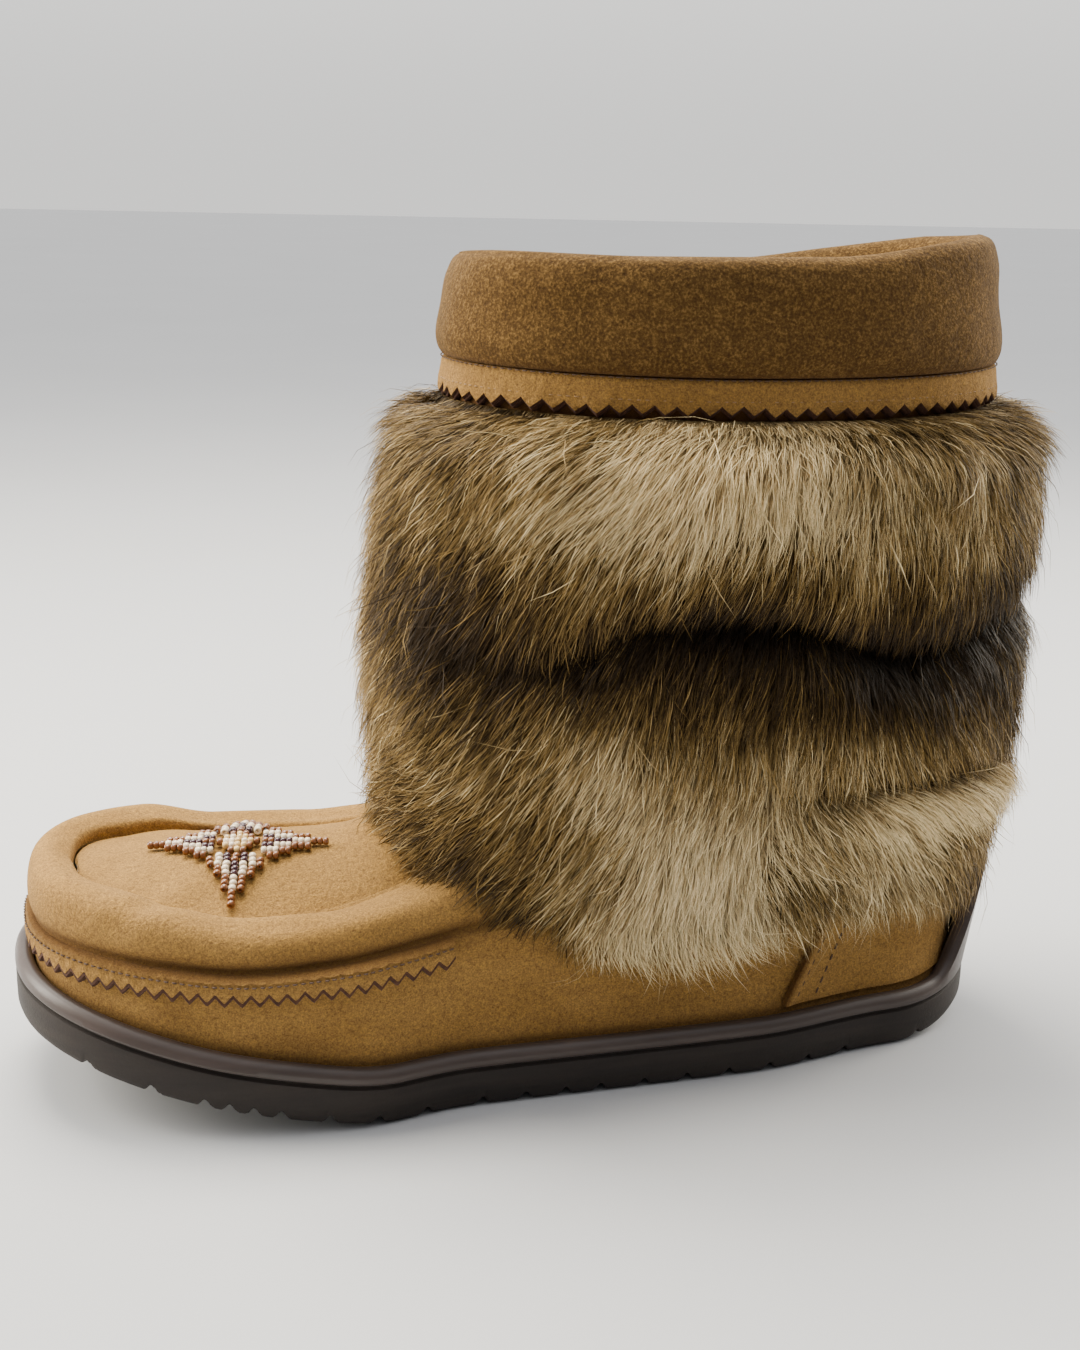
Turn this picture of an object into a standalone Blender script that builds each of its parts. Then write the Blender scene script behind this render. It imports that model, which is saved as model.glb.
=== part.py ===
# Short mukluk boot for the left foot: suede moccasin upper, fur sleeve, padded
# cuff, beaded star and a moulded cup sole. Metres, +Z up. The origin lies on the
# floor under the heel's tread, the toe points to -X and the outer side to -Y.

import math
from collections import namedtuple

import bpy
import numpy as np

# Sole sizes
SOLE_LENGTH = 0.276
BALL_WIDTH = 0.103
HEEL_BACK = 0.038          # from the origin to the back of the heel
TOE_ROUND = 0.066          # length over which the toe rounds off
HEEL_ROUND = 0.036
TOE_SWING = 0.003          # how far the toe leans to the inner side
TOE_SPRING = 0.021
SPRING_START = 0.655       # share of the length from the heel where it begins
HEEL_LIFT = 0.006
HEEL_LIFT_LENGTH = 0.034
HEEL_BEVEL = 0.003
TRAY_HEIGHT = 0.0085       # tread to the floor of the cup
GROOVE_HEIGHT = 0.0112     # tread to the line round the side
RIM_HEIGHT = 0.0157        # tread to the top of the cup's rim
RIM_WIDTH = 0.0047         # outline to the inner side of the rim
HEEL_TAB_HEIGHT = 0.030    # above the rim
HEEL_TAB_WIDTH = 0.050
HEEL_TAB_LEAN = 0.0048     # how far the tab's top leans back
LUG_GROOVE_WIDTH = 0.0042
LUG_GROOVE_DEPTH = 0.0028

# Upper sizes
WALL = 0.0024
CLEARANCE = 0.0003
TOE_HEIGHT = 0.062         # floor to the top of the roll at the toe
ROLL_WIDTH = 0.016
COUNTER_THICKNESS = 0.0014
COUNTER_HEIGHT = 0.049
INSOLE_THICKNESS = 0.004
BAND_THICKNESS = 0.0016    # pinked suede bands
PINK_PITCH = 0.0054
PINK_DEPTH = 0.0024
TOE_BAND_HEIGHT = 0.0031   # from its top to the cuts between its teeth
SEAM_TUCK = 0.0016         # height over which the wall turns in to the seam

# Shaft, cuff and fur sizes
COLLAR_HEIGHT = 0.214      # floor to the top of the shaft's wall
COLLAR_RISE = 0.005        # how much higher the edge stands behind
COLLAR_LEAN = 0.0042       # how much higher its outer side is than its inner one
SHAFT_WIDTH = 0.090
CUFF_PAD = 0.0036
CUFF_PAD_INSIDE = 0.0060
CUFF_TOP = 0.0070          # above the shaft's wall
CUFF_SEAM_HEIGHT = 0.1915
CUFF_SEAM_RISE = 0.0015    # how much higher the seam is at front and back
CUFF_BAND_HEIGHT = 0.0072
FUR_DEPTH = 0.020
FUR_HEM_HEIGHT = 0.041
LOCK_RELIEF = 0.0022
CREASE_DEPTH = 0.0055
CREASE_HEIGHT = 0.128

# Bead sizes
BEAD_DIAMETER = 0.0214 * BALL_WIDTH
BEAD_LENGTH = 0.0160 * BALL_WIDTH
STAR_SHARE = 0.786         # the star's centre along the sole, from the heel
STAR_OFFSET = 0.0
STAR_TURN = -0.14

STATIONS = 30              # spaces along each side of the sole
SHAFT_SIDES = 34
FUR_SIDES = 44
FUR_ROWS = 11

# Half widths along the sole, as shares of the ball's width, the place along the
# sole as a share of its length from the heel.
OutlineRow = namedtuple("OutlineRow", "along outer inner")
OUTLINE = [
    OutlineRow(0.00, 0.318, 0.345),
    OutlineRow(0.14, 0.352, 0.360),
    OutlineRow(0.29, 0.430, 0.352),
    OutlineRow(0.43, 0.443, 0.345),
    OutlineRow(0.58, 0.453, 0.395),
    OutlineRow(0.71, 0.515, 0.468),
    OutlineRow(0.81, 0.513, 0.490),
    OutlineRow(0.91, 0.497, 0.482),
    OutlineRow(1.00, 0.480, 0.475),
]

# Heights of the moccasin seam, of the roll's crest and of the plug's edge, on
# the outer and the inner side, and of the plug's ridge, as shares of TOE_HEIGHT.
HeightRow = namedtuple("HeightRow", "along seam_out seam_in crest_out crest_in edge_out edge_in ridge")
HEIGHTS = [
    HeightRow(0.00, 0.80, 0.80, 1.15, 1.15, 1.20, 1.20, 1.24),
    HeightRow(0.45, 0.80, 0.80, 1.12, 1.12, 1.18, 1.18, 1.26),
    HeightRow(0.56, 0.79, 0.82, 1.00, 1.06, 1.02, 1.08, 1.30),
    HeightRow(0.62, 0.75, 0.79, 0.91, 0.98, 0.90, 0.97, 1.12),
    HeightRow(0.69, 0.72, 0.76, 0.875, 0.935, 0.845, 0.915, 0.995),
    HeightRow(0.79, 0.695, 0.75, 0.865, 0.935, 0.820, 0.900, 0.965),
    HeightRow(0.88, 0.725, 0.76, 0.920, 1.005, 0.855, 0.925, 0.950),
    HeightRow(0.95, 0.755, 0.77, 0.975, 1.010, 0.905, 0.925, 0.930),
    HeightRow(1.00, 0.770, 0.77, 1.000, 1.000, 0.922, 0.922, 0.922),
]

# The roll's section from the seam up and over to the plug: how far in from its
# outermost line, as a share of ROLL_WIDTH, and how high between seam and crest.
RollRow = namedtuple("RollRow", "across rise")
ROLL = [
    RollRow(0.20, 0.00),
    RollRow(0.03, 0.22),
    RollRow(0.01, 0.56),
    RollRow(0.17, 0.90),
    RollRow(0.46, 1.00),
    RollRow(0.80, 0.90),
]

# The same section where the foot runs up into the shaft, as a plain shoulder.
SHOULDER = [
    RollRow(0.00, 0.00),
    RollRow(0.03, 0.22),
    RollRow(0.16, 0.52),
    RollRow(0.38, 0.78),
    RollRow(0.70, 0.94),
    RollRow(1.02, 1.00),
]

# How far in from the sole's outline the wall and the roll stand, in shares of
# RIM_WIDTH, and how much of the section is roll.
InsetRow = namedtuple("InsetRow", "along wall roll moccasin")
INSETS = [
    InsetRow(0.00, 1.46, 1.46, 0.0),
    InsetRow(0.17, 1.44, 1.44, 0.0),
    InsetRow(0.30, 1.28, 1.30, 0.0),
    InsetRow(0.50, 1.20, 1.45, 0.0),
    InsetRow(0.60, 1.13, 1.50, 0.8),
    InsetRow(0.66, 1.12, 1.50, 1.0),
    InsetRow(0.80, 1.12, 1.42, 1.0),
    InsetRow(0.92, 1.12, 1.10, 1.0),
    InsetRow(1.00, 1.12, 0.88, 1.0),
]

# The shaft's ovals: height as a share of COLLAR_HEIGHT, front and back measured
# along the sole from the heel's back, half width as a share of SHAFT_WIDTH.
ShaftRow = namedtuple("ShaftRow", "height front back half")
SHAFT = [
    ShaftRow(0.150, 0.530, 0.060, 0.260),
    ShaftRow(0.257, 0.628, 0.034, 0.365),
    ShaftRow(0.350, 0.624, 0.030, 0.435),
    ShaftRow(0.467, 0.609, 0.030, 0.474),
    ShaftRow(0.740, 0.583, 0.033, 0.494),
    ShaftRow(0.864, 0.575, 0.028, 0.500),
    ShaftRow(1.000, 0.564, 0.043, 0.496),
]

# The edge's height from front to back in shares of COLLAR_RISE.
CollarRow = namedtuple("CollarRow", "along rise")
COLLAR = [
    CollarRow(0.00, -0.20),
    CollarRow(0.25, -0.46),
    CollarRow(0.60, -0.38),
    CollarRow(0.85, 0.40),
    CollarRow(1.00, 1.00),
]

# The fur's depth over the shaft in shares of FUR_DEPTH.
FurRow = namedtuple("FurRow", "height front back side")
FUR = [
    FurRow(0.19, 0.22, 0.76, 1.06),
    FurRow(0.26, 0.30, 0.80, 1.10),
    FurRow(0.35, 0.40, 0.93, 1.02),
    FurRow(0.47, 0.68, 0.93, 0.94),
    FurRow(0.60, 0.87, 0.98, 0.92),
    FurRow(0.70, 0.88, 1.06, 0.95),
    FurRow(0.80, 0.79, 1.00, 0.84),
    FurRow(0.835, 0.50, 0.70, 0.52),
    FurRow(0.850, 0.16, 0.22, 0.16),
]

# The fur's lower edge from its front to its back, as shares of FUR_HEM_HEIGHT.
HemRow = namedtuple("HemRow", "along height")
HEM = [
    HemRow(0.00, 1.62),
    HemRow(0.03, 1.36),
    HemRow(0.07, 1.12),
    HemRow(0.14, 1.02),
    HemRow(0.28, 1.00),
    HemRow(0.42, 1.06),
    HemRow(0.55, 1.20),
    HemRow(0.70, 1.30),
    HemRow(0.86, 1.18),
    HemRow(1.00, 1.04),
]

# The fold round the fur: place from front to back, height over CREASE_HEIGHT and
# depth, both in shares of CREASE_DEPTH.
CreaseRow = namedtuple("CreaseRow", "along height depth")
CREASE = [
    CreaseRow(0.00, 0.0, 0.0),
    CreaseRow(0.16, -1.2, 0.5),
    CreaseRow(0.34, 0.9, 0.9),
    CreaseRow(0.52, 0.8, 1.0),
    CreaseRow(0.72, -1.0, 1.0),
    CreaseRow(0.90, 0.2, 0.7),
    CreaseRow(1.00, 0.6, 0.5),
]

# The cuff's outer section from seam to top: outward in shares of CUFF_PAD and
# height between seam and top.
CuffRow = namedtuple("CuffRow", "out height")
CUFF = [
    CuffRow(0.55, 0.00),
    CuffRow(0.92, 0.10),
    CuffRow(1.00, 0.50),
    CuffRow(0.80, 0.82),
    CuffRow(0.20, 0.96),
    CuffRow(-0.70, 1.00),
]

# Grooves across the tread, as shares of the sole's length from the heel: wide
# lugs at the toe, a band of narrow ones at the ball, even ones behind it.
LUG_GROOVES = [0.093, 0.183, 0.228, 0.273, 0.318, 0.363, 0.408, 0.453, 0.489, 0.529,
               0.572, 0.628, 0.676, 0.723, 0.768, 0.793, 0.815, 0.837, 0.884, 0.940]

# Beads in each lane of one arm, from one side to the other, and of the centre.
ARM_LANES = [2, 5, 8, 11, 8, 5, 2]
CENTRE_LANES = [2, 4, 6, 4, 2]

COLOURS = {
    "rubber": ((0.045, 0.030, 0.024), 0.62),
    "suede": ((0.47, 0.28, 0.115), 0.95),
    "lining": ((0.55, 0.44, 0.30), 0.95),
    "fur": ((0.27, 0.19, 0.10), 0.90),
    "beads": ((0.70, 0.48, 0.34), 0.35),
}


def clear_scene():
    for item in list(bpy.data.objects):
        bpy.data.objects.remove(item, do_unlink=True)


def curve_value(x, xs, ys):
    # A smooth curve through the rows of a table that never overshoots them.
    xs = np.asarray(xs, float)
    ys = np.asarray(ys, float)
    slopes = np.diff(ys) / np.diff(xs)
    tangents = np.zeros(len(xs))
    tangents[0] = slopes[0]
    tangents[-1] = slopes[-1]
    for i in range(1, len(xs) - 1):
        if slopes[i - 1] * slopes[i] > 0:
            tangents[i] = 2 * slopes[i - 1] * slopes[i] / (slopes[i - 1] + slopes[i])
    x = min(max(x, xs[0]), xs[-1])
    i = min(int(np.searchsorted(xs, x, side="right")) - 1, len(xs) - 2)
    span = xs[i + 1] - xs[i]
    t = (x - xs[i]) / span
    rise = ys[i + 1] - ys[i]
    bend_in = tangents[i] * span - rise
    bend_out = rise - tangents[i + 1] * span
    return float(ys[i] + rise * t + t * (1 - t) * (bend_in * (1 - t) + bend_out * t))


def table_value(table, key, column, at):
    return curve_value(at, [getattr(row, key) for row in table], [getattr(row, column) for row in table])


def smooth_step(low, high, x):
    t = min(max((x - low) / (high - low), 0.0), 1.0)
    return t * t * (3 - 2 * t)


def end_round(distance, length, power):
    t = min(max(distance / length, 0.0), 1.0)
    return (1 - (1 - t) ** power) ** (1 / power)


def turn_of(station):
    # Stations run from the heel's back along the outer side to the toe, and back
    # along the inner side. They crowd towards both ends, where the outline bends.
    return math.pi * station / STATIONS


def along_of(station):
    return (1 - math.cos(turn_of(station))) / 2


def inner_weight(station):
    # 0 on the outer side, 1 on the inner side, changing over at heel and toe.
    return smooth_step(-0.35, 0.35, -math.sin(turn_of(station)))


def outline_point(station):
    along = along_of(station)
    distance = along * SOLE_LENGTH
    rounding = end_round(distance, HEEL_ROUND, 2.14) * end_round(SOLE_LENGTH - distance, TOE_ROUND, 2.5)
    outer_side = math.sin(turn_of(station)) >= 0
    half = table_value(OUTLINE, "along", "outer" if outer_side else "inner", along) * BALL_WIDTH
    centre = TOE_SWING * smooth_step(0.66, 1.0, along)
    return np.array([HEEL_BACK - distance, centre + (-half if outer_side else half) * rounding])


def outline_normal(station):
    step = outline_point(station + 0.25) - outline_point(station - 0.25)
    inward = np.array([step[1], -step[0]])
    return inward / np.linalg.norm(inward)


def inset_point(station, inset):
    return outline_point(station) + outline_normal(station) * inset


def lift(x):
    # Height of the tread over the floor: toe spring in front, a small lift behind.
    distance = HEEL_BACK - x
    share = (distance / SOLE_LENGTH - SPRING_START) / (1 - SPRING_START)
    spring = max(share, 0.0) ** 1.35 * TOE_SPRING
    return spring + max(1 - distance / HEEL_LIFT_LENGTH, 0.0) ** 2 * HEEL_LIFT


def make_material(name):
    colour, roughness = COLOURS[name]
    material = bpy.data.materials.get(name) or bpy.data.materials.new(name)
    material.use_nodes = True
    shader = material.node_tree.nodes["Principled BSDF"]
    shader.inputs["Base Color"].default_value = (*colour, 1.0)
    shader.inputs["Roughness"].default_value = roughness
    shader.inputs["Metallic"].default_value = 0.0
    return material


def make_object(name, vertices, faces, material, smooth_angle=40.0):
    # Every face is split into flat triangles, so that the cuts meet flat faces.
    flat = [(face[0], face[i], face[i + 1]) for face in faces for i in range(1, len(face) - 1)]
    mesh = bpy.data.meshes.new(name)
    mesh.from_pydata([tuple(map(float, v)) for v in vertices], [], [tuple(map(int, f)) for f in flat])
    mesh.validate()
    mesh.shade_smooth()
    mesh.set_sharp_from_angle(angle=math.radians(smooth_angle))
    item = bpy.data.objects.new(name, mesh)
    item.data.materials.append(make_material(material))
    bpy.context.scene.collection.objects.link(item)
    return item


def make_cutter(name, vertices, faces):
    cutter = make_object(name, vertices, faces, "rubber")
    cutter.hide_render = True
    cutter.display_type = "WIRE"
    return cutter


def combine(item, other, operation):
    modifier = item.modifiers.new(operation.lower(), "BOOLEAN")
    modifier.operation = operation
    modifier.object = other
    modifier.solver = "EXACT"


def merge_flat(item, degrees):
    # Joins faces that lie in one plane to within an angle.
    modifier = item.modifiers.new("merge_flat", "DECIMATE")
    modifier.decimate_type = "DISSOLVE"
    modifier.angle_limit = math.radians(degrees)


def ring_faces(rows, count):
    # Side faces between closed rings of equal count, the first ring lowest and
    # each ring running against the clock seen from above.
    faces = []
    for row in range(rows - 1):
        for i in range(count):
            j = (i + 1) % count
            faces.append((row * count + i, row * count + j, (row + 1) * count + j, (row + 1) * count + i))
    return faces


def ladder(vertices, ring_start, cells, height_at, upward):
    # Closes a ring of the sole's stations with rungs from side to side.
    # height_at(point, station, share across) gives the height of a rung's point.
    faces = []
    previous = [ring_start] * (cells + 1)
    for station in range(1, STATIONS):
        near = ring_start + station
        far = ring_start + 2 * STATIONS - station
        rung = [near]
        for cell in range(1, cells):
            share = cell / cells
            point = np.array(vertices[near]) * (1 - share) + np.array(vertices[far]) * share
            point[2] = height_at(point, station, share)
            vertices.append(tuple(point))
            rung.append(len(vertices) - 1)
        rung.append(far)
        faces += rung_faces(previous, rung)
        previous = rung
    faces += rung_faces(previous, [ring_start + STATIONS] * (cells + 1))
    return faces if upward else [tuple(reversed(face)) for face in faces]


def rung_faces(low, high):
    faces = []
    for a, b, c, d in zip(low, low[1:], high[1:], high):
        corners = [a, b, c, d]
        face = [p for i, p in enumerate(corners) if p != corners[i - 1]]
        if len(face) > 2:
            faces.append(tuple(face))
    return faces


def foot_solid(rings, bottom_cells, bottom_height, top_cells, top_height):
    # A closed solid from rings of (inset, height) functions of the station.
    count = 2 * STATIONS
    vertices = []
    for ring in rings:
        for station in range(count):
            inset, height = ring(station)
            x, y = inset_point(station, inset)
            vertices.append((x, y, height(x)))
    faces = [tuple(reversed(face)) for face in ring_faces(len(rings), count)]
    top_start = (len(rings) - 1) * count
    faces += ladder(vertices, 0, bottom_cells, bottom_height, False)
    faces += ladder(vertices, top_start, top_cells, top_height, True)
    return vertices, faces


def local_ring(inset, height, bevel=0.0):
    # A ring that follows the tread at a fixed height over it.
    def place(x):
        back = max(1 - (HEEL_BACK - x) / HEEL_LIFT_LENGTH, 0.0)
        return height + lift(x) + bevel * back * back
    return lambda station: (inset, place)


def tab_share(station):
    x, y = outline_point(station)
    if x < HEEL_BACK - HEEL_ROUND:
        return 0.0
    return 1 - smooth_step(0.55, 1.25, abs(y) / (HEEL_TAB_WIDTH / 2))


def rim_ring(inset, below_top):
    # A ring near the rim's top, which climbs and leans back at the heel tab.
    def ring(station):
        share = tab_share(station)
        top = RIM_HEIGHT + HEEL_TAB_HEIGHT * share
        return inset - HEEL_TAB_LEAN * share, lambda x: top - below_top + lift(x)
    return ring


def make_outsole():
    rings = [
        local_ring(0.0020, 0.0, HEEL_BEVEL),
        local_ring(0.0005, 0.0014, HEEL_BEVEL * 0.8),
        local_ring(0.0, GROOVE_HEIGHT - 0.0010),
        local_ring(0.0010, GROOVE_HEIGHT - 0.0002),
        local_ring(0.0002, GROOVE_HEIGHT + 0.0009),
        rim_ring(0.0009, 0.0018),
        rim_ring(0.0024, 0.0),
        rim_ring(RIM_WIDTH, 0.0020),
        local_ring(RIM_WIDTH, TRAY_HEIGHT),
    ]
    vertices, faces = foot_solid(
        rings, 3, lambda p, s, t: lift(p[0]), 2, lambda p, s, t: TRAY_HEIGHT + lift(p[0]))
    outsole = make_object("outsole", vertices, faces, "rubber", 35.0)
    vertices = []
    faces = []
    for share in LUG_GROOVES:
        x = HEEL_BACK - share * SOLE_LENGTH
        start = len(vertices)
        half = LUG_GROOVE_WIDTH / 2
        for y in (-BALL_WIDTH, BALL_WIDTH):
            vertices += [(x - 2 * half, y, lift(x - 2 * half) - LUG_GROOVE_DEPTH),
                         (x + 2 * half, y, lift(x + 2 * half) - LUG_GROOVE_DEPTH),
                         (x, y, lift(x) + LUG_GROOVE_DEPTH)]
        a, b, c, d, e, f = range(start, start + 6)
        faces += [(a, b, c), (f, e, d), (a, d, e, b), (b, e, f, c), (c, f, d, a)]
    combine(outsole, make_cutter("lug_cutter", vertices, faces), "DIFFERENCE")
    merge_flat(outsole, 0.3)
    return outsole


def side_value(column, station):
    along = along_of(station)
    inner = inner_weight(station)
    outer_value = table_value(HEIGHTS, "along", column + "_out", along)
    inner_value = table_value(HEIGHTS, "along", column + "_in", along)
    return (outer_value * (1 - inner) + inner_value * inner) * TOE_HEIGHT


def upper_section(station):
    # The upper's outer section at a station, from the cup's floor to the plug's
    # edge, as (inset, height) points.
    along = along_of(station)
    ground = lift(outline_point(station)[0])
    seam = side_value("seam", station)
    crest = side_value("crest", station)
    edge = side_value("edge", station)
    wall = table_value(INSETS, "along", "wall", along) * RIM_WIDTH
    roll = table_value(INSETS, "along", "roll", along) * RIM_WIDTH
    moccasin = table_value(INSETS, "along", "moccasin", along)
    seat = RIM_WIDTH + CLEARANCE
    under_seam = seam - SEAM_TUCK
    points = [
        (seat, TRAY_HEIGHT + CLEARANCE + ground),
        (seat, RIM_HEIGHT - 0.0010 + ground),
        (wall, RIM_HEIGHT + 0.0022 + ground),
        (wall, under_seam),
    ]
    for rolled, plain in zip(ROLL, SHOULDER):
        across = rolled.across * moccasin + plain.across * (1 - moccasin)
        rise = rolled.rise * moccasin + plain.rise * (1 - moccasin)
        points.append((roll + across * ROLL_WIDTH, seam + rise * (crest - seam)))
    points.append((roll + ROLL_WIDTH * (1.04 + 0.3 * (1 - moccasin)), edge))
    return points


def move_section(points, amount):
    # The same section moved outward by an amount, or inward where it is negative.
    moved = []
    for i, point in enumerate(points):
        before = np.array(points[max(i - 1, 0)])
        after = np.array(points[min(i + 1, len(points) - 1)])
        step = after - before
        length = np.linalg.norm(step)
        outward = np.array([-step[1], step[0]]) / length
        moved.append(tuple(np.array(point) + outward * amount))
    return moved


def plug_height(x, station, share):
    # Height of the moccasin plug between its edges, crowned to the ridge.
    along = (HEEL_BACK - x) / SOLE_LENGTH
    low = side_value("edge", station)
    high = side_value("edge", 2 * STATIONS - station)
    ridge = table_value(HEIGHTS, "along", "ridge", along) * TOE_HEIGHT
    crown = ridge - (low + high) / 2
    return low * (1 - share) + high * share + crown * (1 - (2 * share - 1) ** 2)


def upper_solid(grow, levels=None, floor=None, cells=4):
    # The foot's closed form, grown by an amount. floor sets the lowest ring.
    count = 2 * STATIONS
    sections = [move_section(upper_section(s), grow) for s in range(count)]
    levels = levels or range(len(sections[0]))
    rings = []
    for number, level in enumerate(levels):
        def ring(station, level=level, first=number == 0):
            inset, height = sections[station][level]
            if first and floor is not None:
                height = floor
            elif first:
                height = upper_section(station)[level][1]
            return inset, lambda x: height
        rings.append(ring)
    bottom = floor if floor is not None else TRAY_HEIGHT + CLEARANCE

    def bottom_height(p, station, share):
        return bottom if floor is not None else bottom + lift(p[0])

    def top_height(p, station, share):
        return plug_height(p[0], station, share) + grow
    return foot_solid(rings, 2, bottom_height, cells, top_height)


def oval_point(front, back, half, angle):
    # A point of an egg-shaped oval, angle 0 at its back and 180 degrees in front.
    power = 2 / 2.25
    middle = (front + back) / 2
    c = math.cos(angle)
    s = math.sin(angle)
    x = middle + (back - front) / 2 * math.copysign(abs(c) ** power, c)
    y = half * math.copysign(abs(s) ** power, s)
    return x, y


def shaft_oval(height, grow):
    share = height / COLLAR_HEIGHT
    front = HEEL_BACK - table_value(SHAFT, "height", "front", share) * SOLE_LENGTH - grow
    back = HEEL_BACK - table_value(SHAFT, "height", "back", share) * SOLE_LENGTH + grow
    half = table_value(SHAFT, "height", "half", share) * SHAFT_WIDTH + grow
    return front, back, half


def collar_rise(x, y):
    front, back, half = shaft_oval(COLLAR_HEIGHT, 0.0)
    along = (x - front) / (back - front)
    return table_value(COLLAR, "along", "rise", along) * COLLAR_RISE - COLLAR_LEAN * y / (2 * half)


def seam_height(x):
    front, back, half = shaft_oval(CUFF_SEAM_HEIGHT, 0.0)
    place = (2 * x - front - back) / (back - front)
    return CUFF_SEAM_HEIGHT + CUFF_SEAM_RISE * min(place * place, 1.2)


def ring_around(sides, place):
    # Points of a ring, from place(angle), against the clock seen from above.
    return [place(2 * math.pi * i / sides) for i in range(sides)]


def stack_rings(name, rings, material, make=make_object):
    count = len(rings[0])
    vertices = [point for ring in rings for point in ring]
    faces = ring_faces(len(rings), count)
    for start, upward in ((0, False), ((len(rings) - 1) * count, True)):
        ring = [vertices[start + i] for i in range(count)]
        vertices.append(tuple(np.mean(ring, axis=0)))
        hub = len(vertices) - 1
        for i in range(count):
            a, b = start + i, start + (i + 1) % count
            faces.append((a, b, hub) if upward else (b, a, hub))
    return make(name, vertices, faces, material) if make is make_object else make(name, vertices, faces)


def shaft_solid(name, grow, overshoot=0.0):
    rings = []
    for number, row in enumerate(SHAFT):
        height = row.height * COLLAR_HEIGHT
        oval = shaft_oval(height, grow)
        last = number == len(SHAFT) - 1

        def place(angle):
            x, y = oval_point(*oval, angle)
            return x, y, height + (collar_rise(x, y) + overshoot if last else 0.0)
        rings.append(ring_around(SHAFT_SIDES, place))
    return stack_rings(name, rings, "suede", make_cutter)


def make_upper():
    vertices, faces = upper_solid(0.0)
    upper = make_object("upper", vertices, faces, "suede", 60.0)
    combine(upper, shaft_solid("shaft_form", 0.0), "UNION")
    inner_levels = [0, 1, 2, 3, 4, 6, 8, 10]
    vertices, faces = upper_solid(-WALL, inner_levels, -0.01, 3)
    combine(upper, make_cutter("foot_cavity", vertices, faces), "DIFFERENCE")
    combine(upper, shaft_solid("shaft_cavity", -WALL, overshoot=0.01), "DIFFERENCE")
    merge_flat(upper, 0.05)
    return upper


def make_insole():
    inset = RIM_WIDTH + WALL + 3 * CLEARANCE
    low = TRAY_HEIGHT + CLEARANCE
    high = low + INSOLE_THICKNESS
    vertices, faces = foot_solid(
        [local_ring(inset, low), local_ring(inset, high)],
        2, lambda p, s, t: low + lift(p[0]),
        2, lambda p, s, t: high + lift(p[0]))
    return make_object("insole", vertices, faces, "lining")


def wall_inset(station, height):
    # How far in the upper's outer wall stands at a height below its seam.
    points = upper_section(station)[1:5]
    return float(np.interp(height, [p[1] for p in points], [p[0] for p in points]))


def shell(name, columns, inner, outer, material, closed):
    # A thin closed body from an inner and an outer sheet of points, joined round
    # all the edges. Each sheet is a list of columns that run upward, and the
    # columns run against the clock seen from above.
    rows = len(inner[0])
    vertices = [p for column in outer for p in column] + [p for column in inner for p in column]
    shift = columns * rows
    faces = []
    for c in range(columns if closed else columns - 1):
        n = (c + 1) % columns
        for r in range(rows - 1):
            a, b = c * rows + r, n * rows + r
            faces.append((a, b, b + 1, a + 1))
            faces.append((a + shift, a + 1 + shift, b + 1 + shift, b + shift))
        a, b = c * rows, n * rows
        faces.append((a, a + shift, b + shift, b))
        a, b = c * rows + rows - 1, n * rows + rows - 1
        faces.append((a, b, b + shift, a + shift))
    if not closed:
        last = (columns - 1) * rows
        for r in range(rows - 1):
            faces.append((r, r + 1, r + 1 + shift, r + shift))
            faces.append((last + r, last + r + shift, last + r + 1 + shift, last + r + 1))
    return make_object(name, vertices, faces, material)


def spread_stations(first, last, step):
    # Stations at equal steps of length along the outline.
    fine = np.linspace(first, last, 1200)
    points = np.array([outline_point(s) for s in fine])
    run = np.concatenate([[0.0], np.cumsum(np.linalg.norm(np.diff(points, axis=0), axis=1))])
    teeth = max(int(round(run[-1] / step)), 2)
    return np.interp(np.linspace(0, run[-1], 2 * teeth + 1), run, fine)


def make_toe_band():
    # The pinked edge of the vamp below the moccasin seam, from side to side.
    first = station_at(0.598)
    stations = spread_stations(first, 2 * STATIONS - first, PINK_PITCH)
    inner = []
    outer = []
    for number, station in enumerate(stations):
        top = side_value("seam", station) - SEAM_TUCK
        bottom = top - TOE_BAND_HEIGHT - (PINK_DEPTH if number % 2 else 0.0)
        for sheet, offset in ((inner, CLEARANCE), (outer, CLEARANCE + BAND_THICKNESS)):
            column = []
            for height in (bottom, top):
                x, y = inset_point(station, wall_inset(station, height) - offset)
                column.append((x, y, height))
            sheet.append(column)
    return shell("toe_band", len(stations), inner[::-1], outer[::-1], "suede", False)


def station_at(along):
    return math.acos(1 - 2 * along) / math.pi * STATIONS


def make_counter():
    # The heel counter: its front edges lean back as they climb.
    inner = []
    outer = []
    columns = 33
    for column_number in range(columns):
        share = 2 * column_number / (columns - 1) - 1
        column_in = []
        column_out = []
        for rise in (0.0, 1.0):
            front = 0.252 - 0.062 * rise
            station = -share * station_at(front * share * share + 1e-6)
            ground = lift(outline_point(station)[0])
            low = RIM_HEIGHT + 0.0028 + ground
            height = low + (COUNTER_HEIGHT - low) * rise
            for sheet, offset in ((column_in, 2 * CLEARANCE), (column_out, 2 * CLEARANCE + COUNTER_THICKNESS)):
                x, y = inset_point(station, wall_inset(station, height) - offset)
                sheet.append((x, y, height))
        inner.append(column_in)
        outer.append(column_out)
    return shell("heel_counter", columns, inner, outer, "suede", False)


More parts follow.
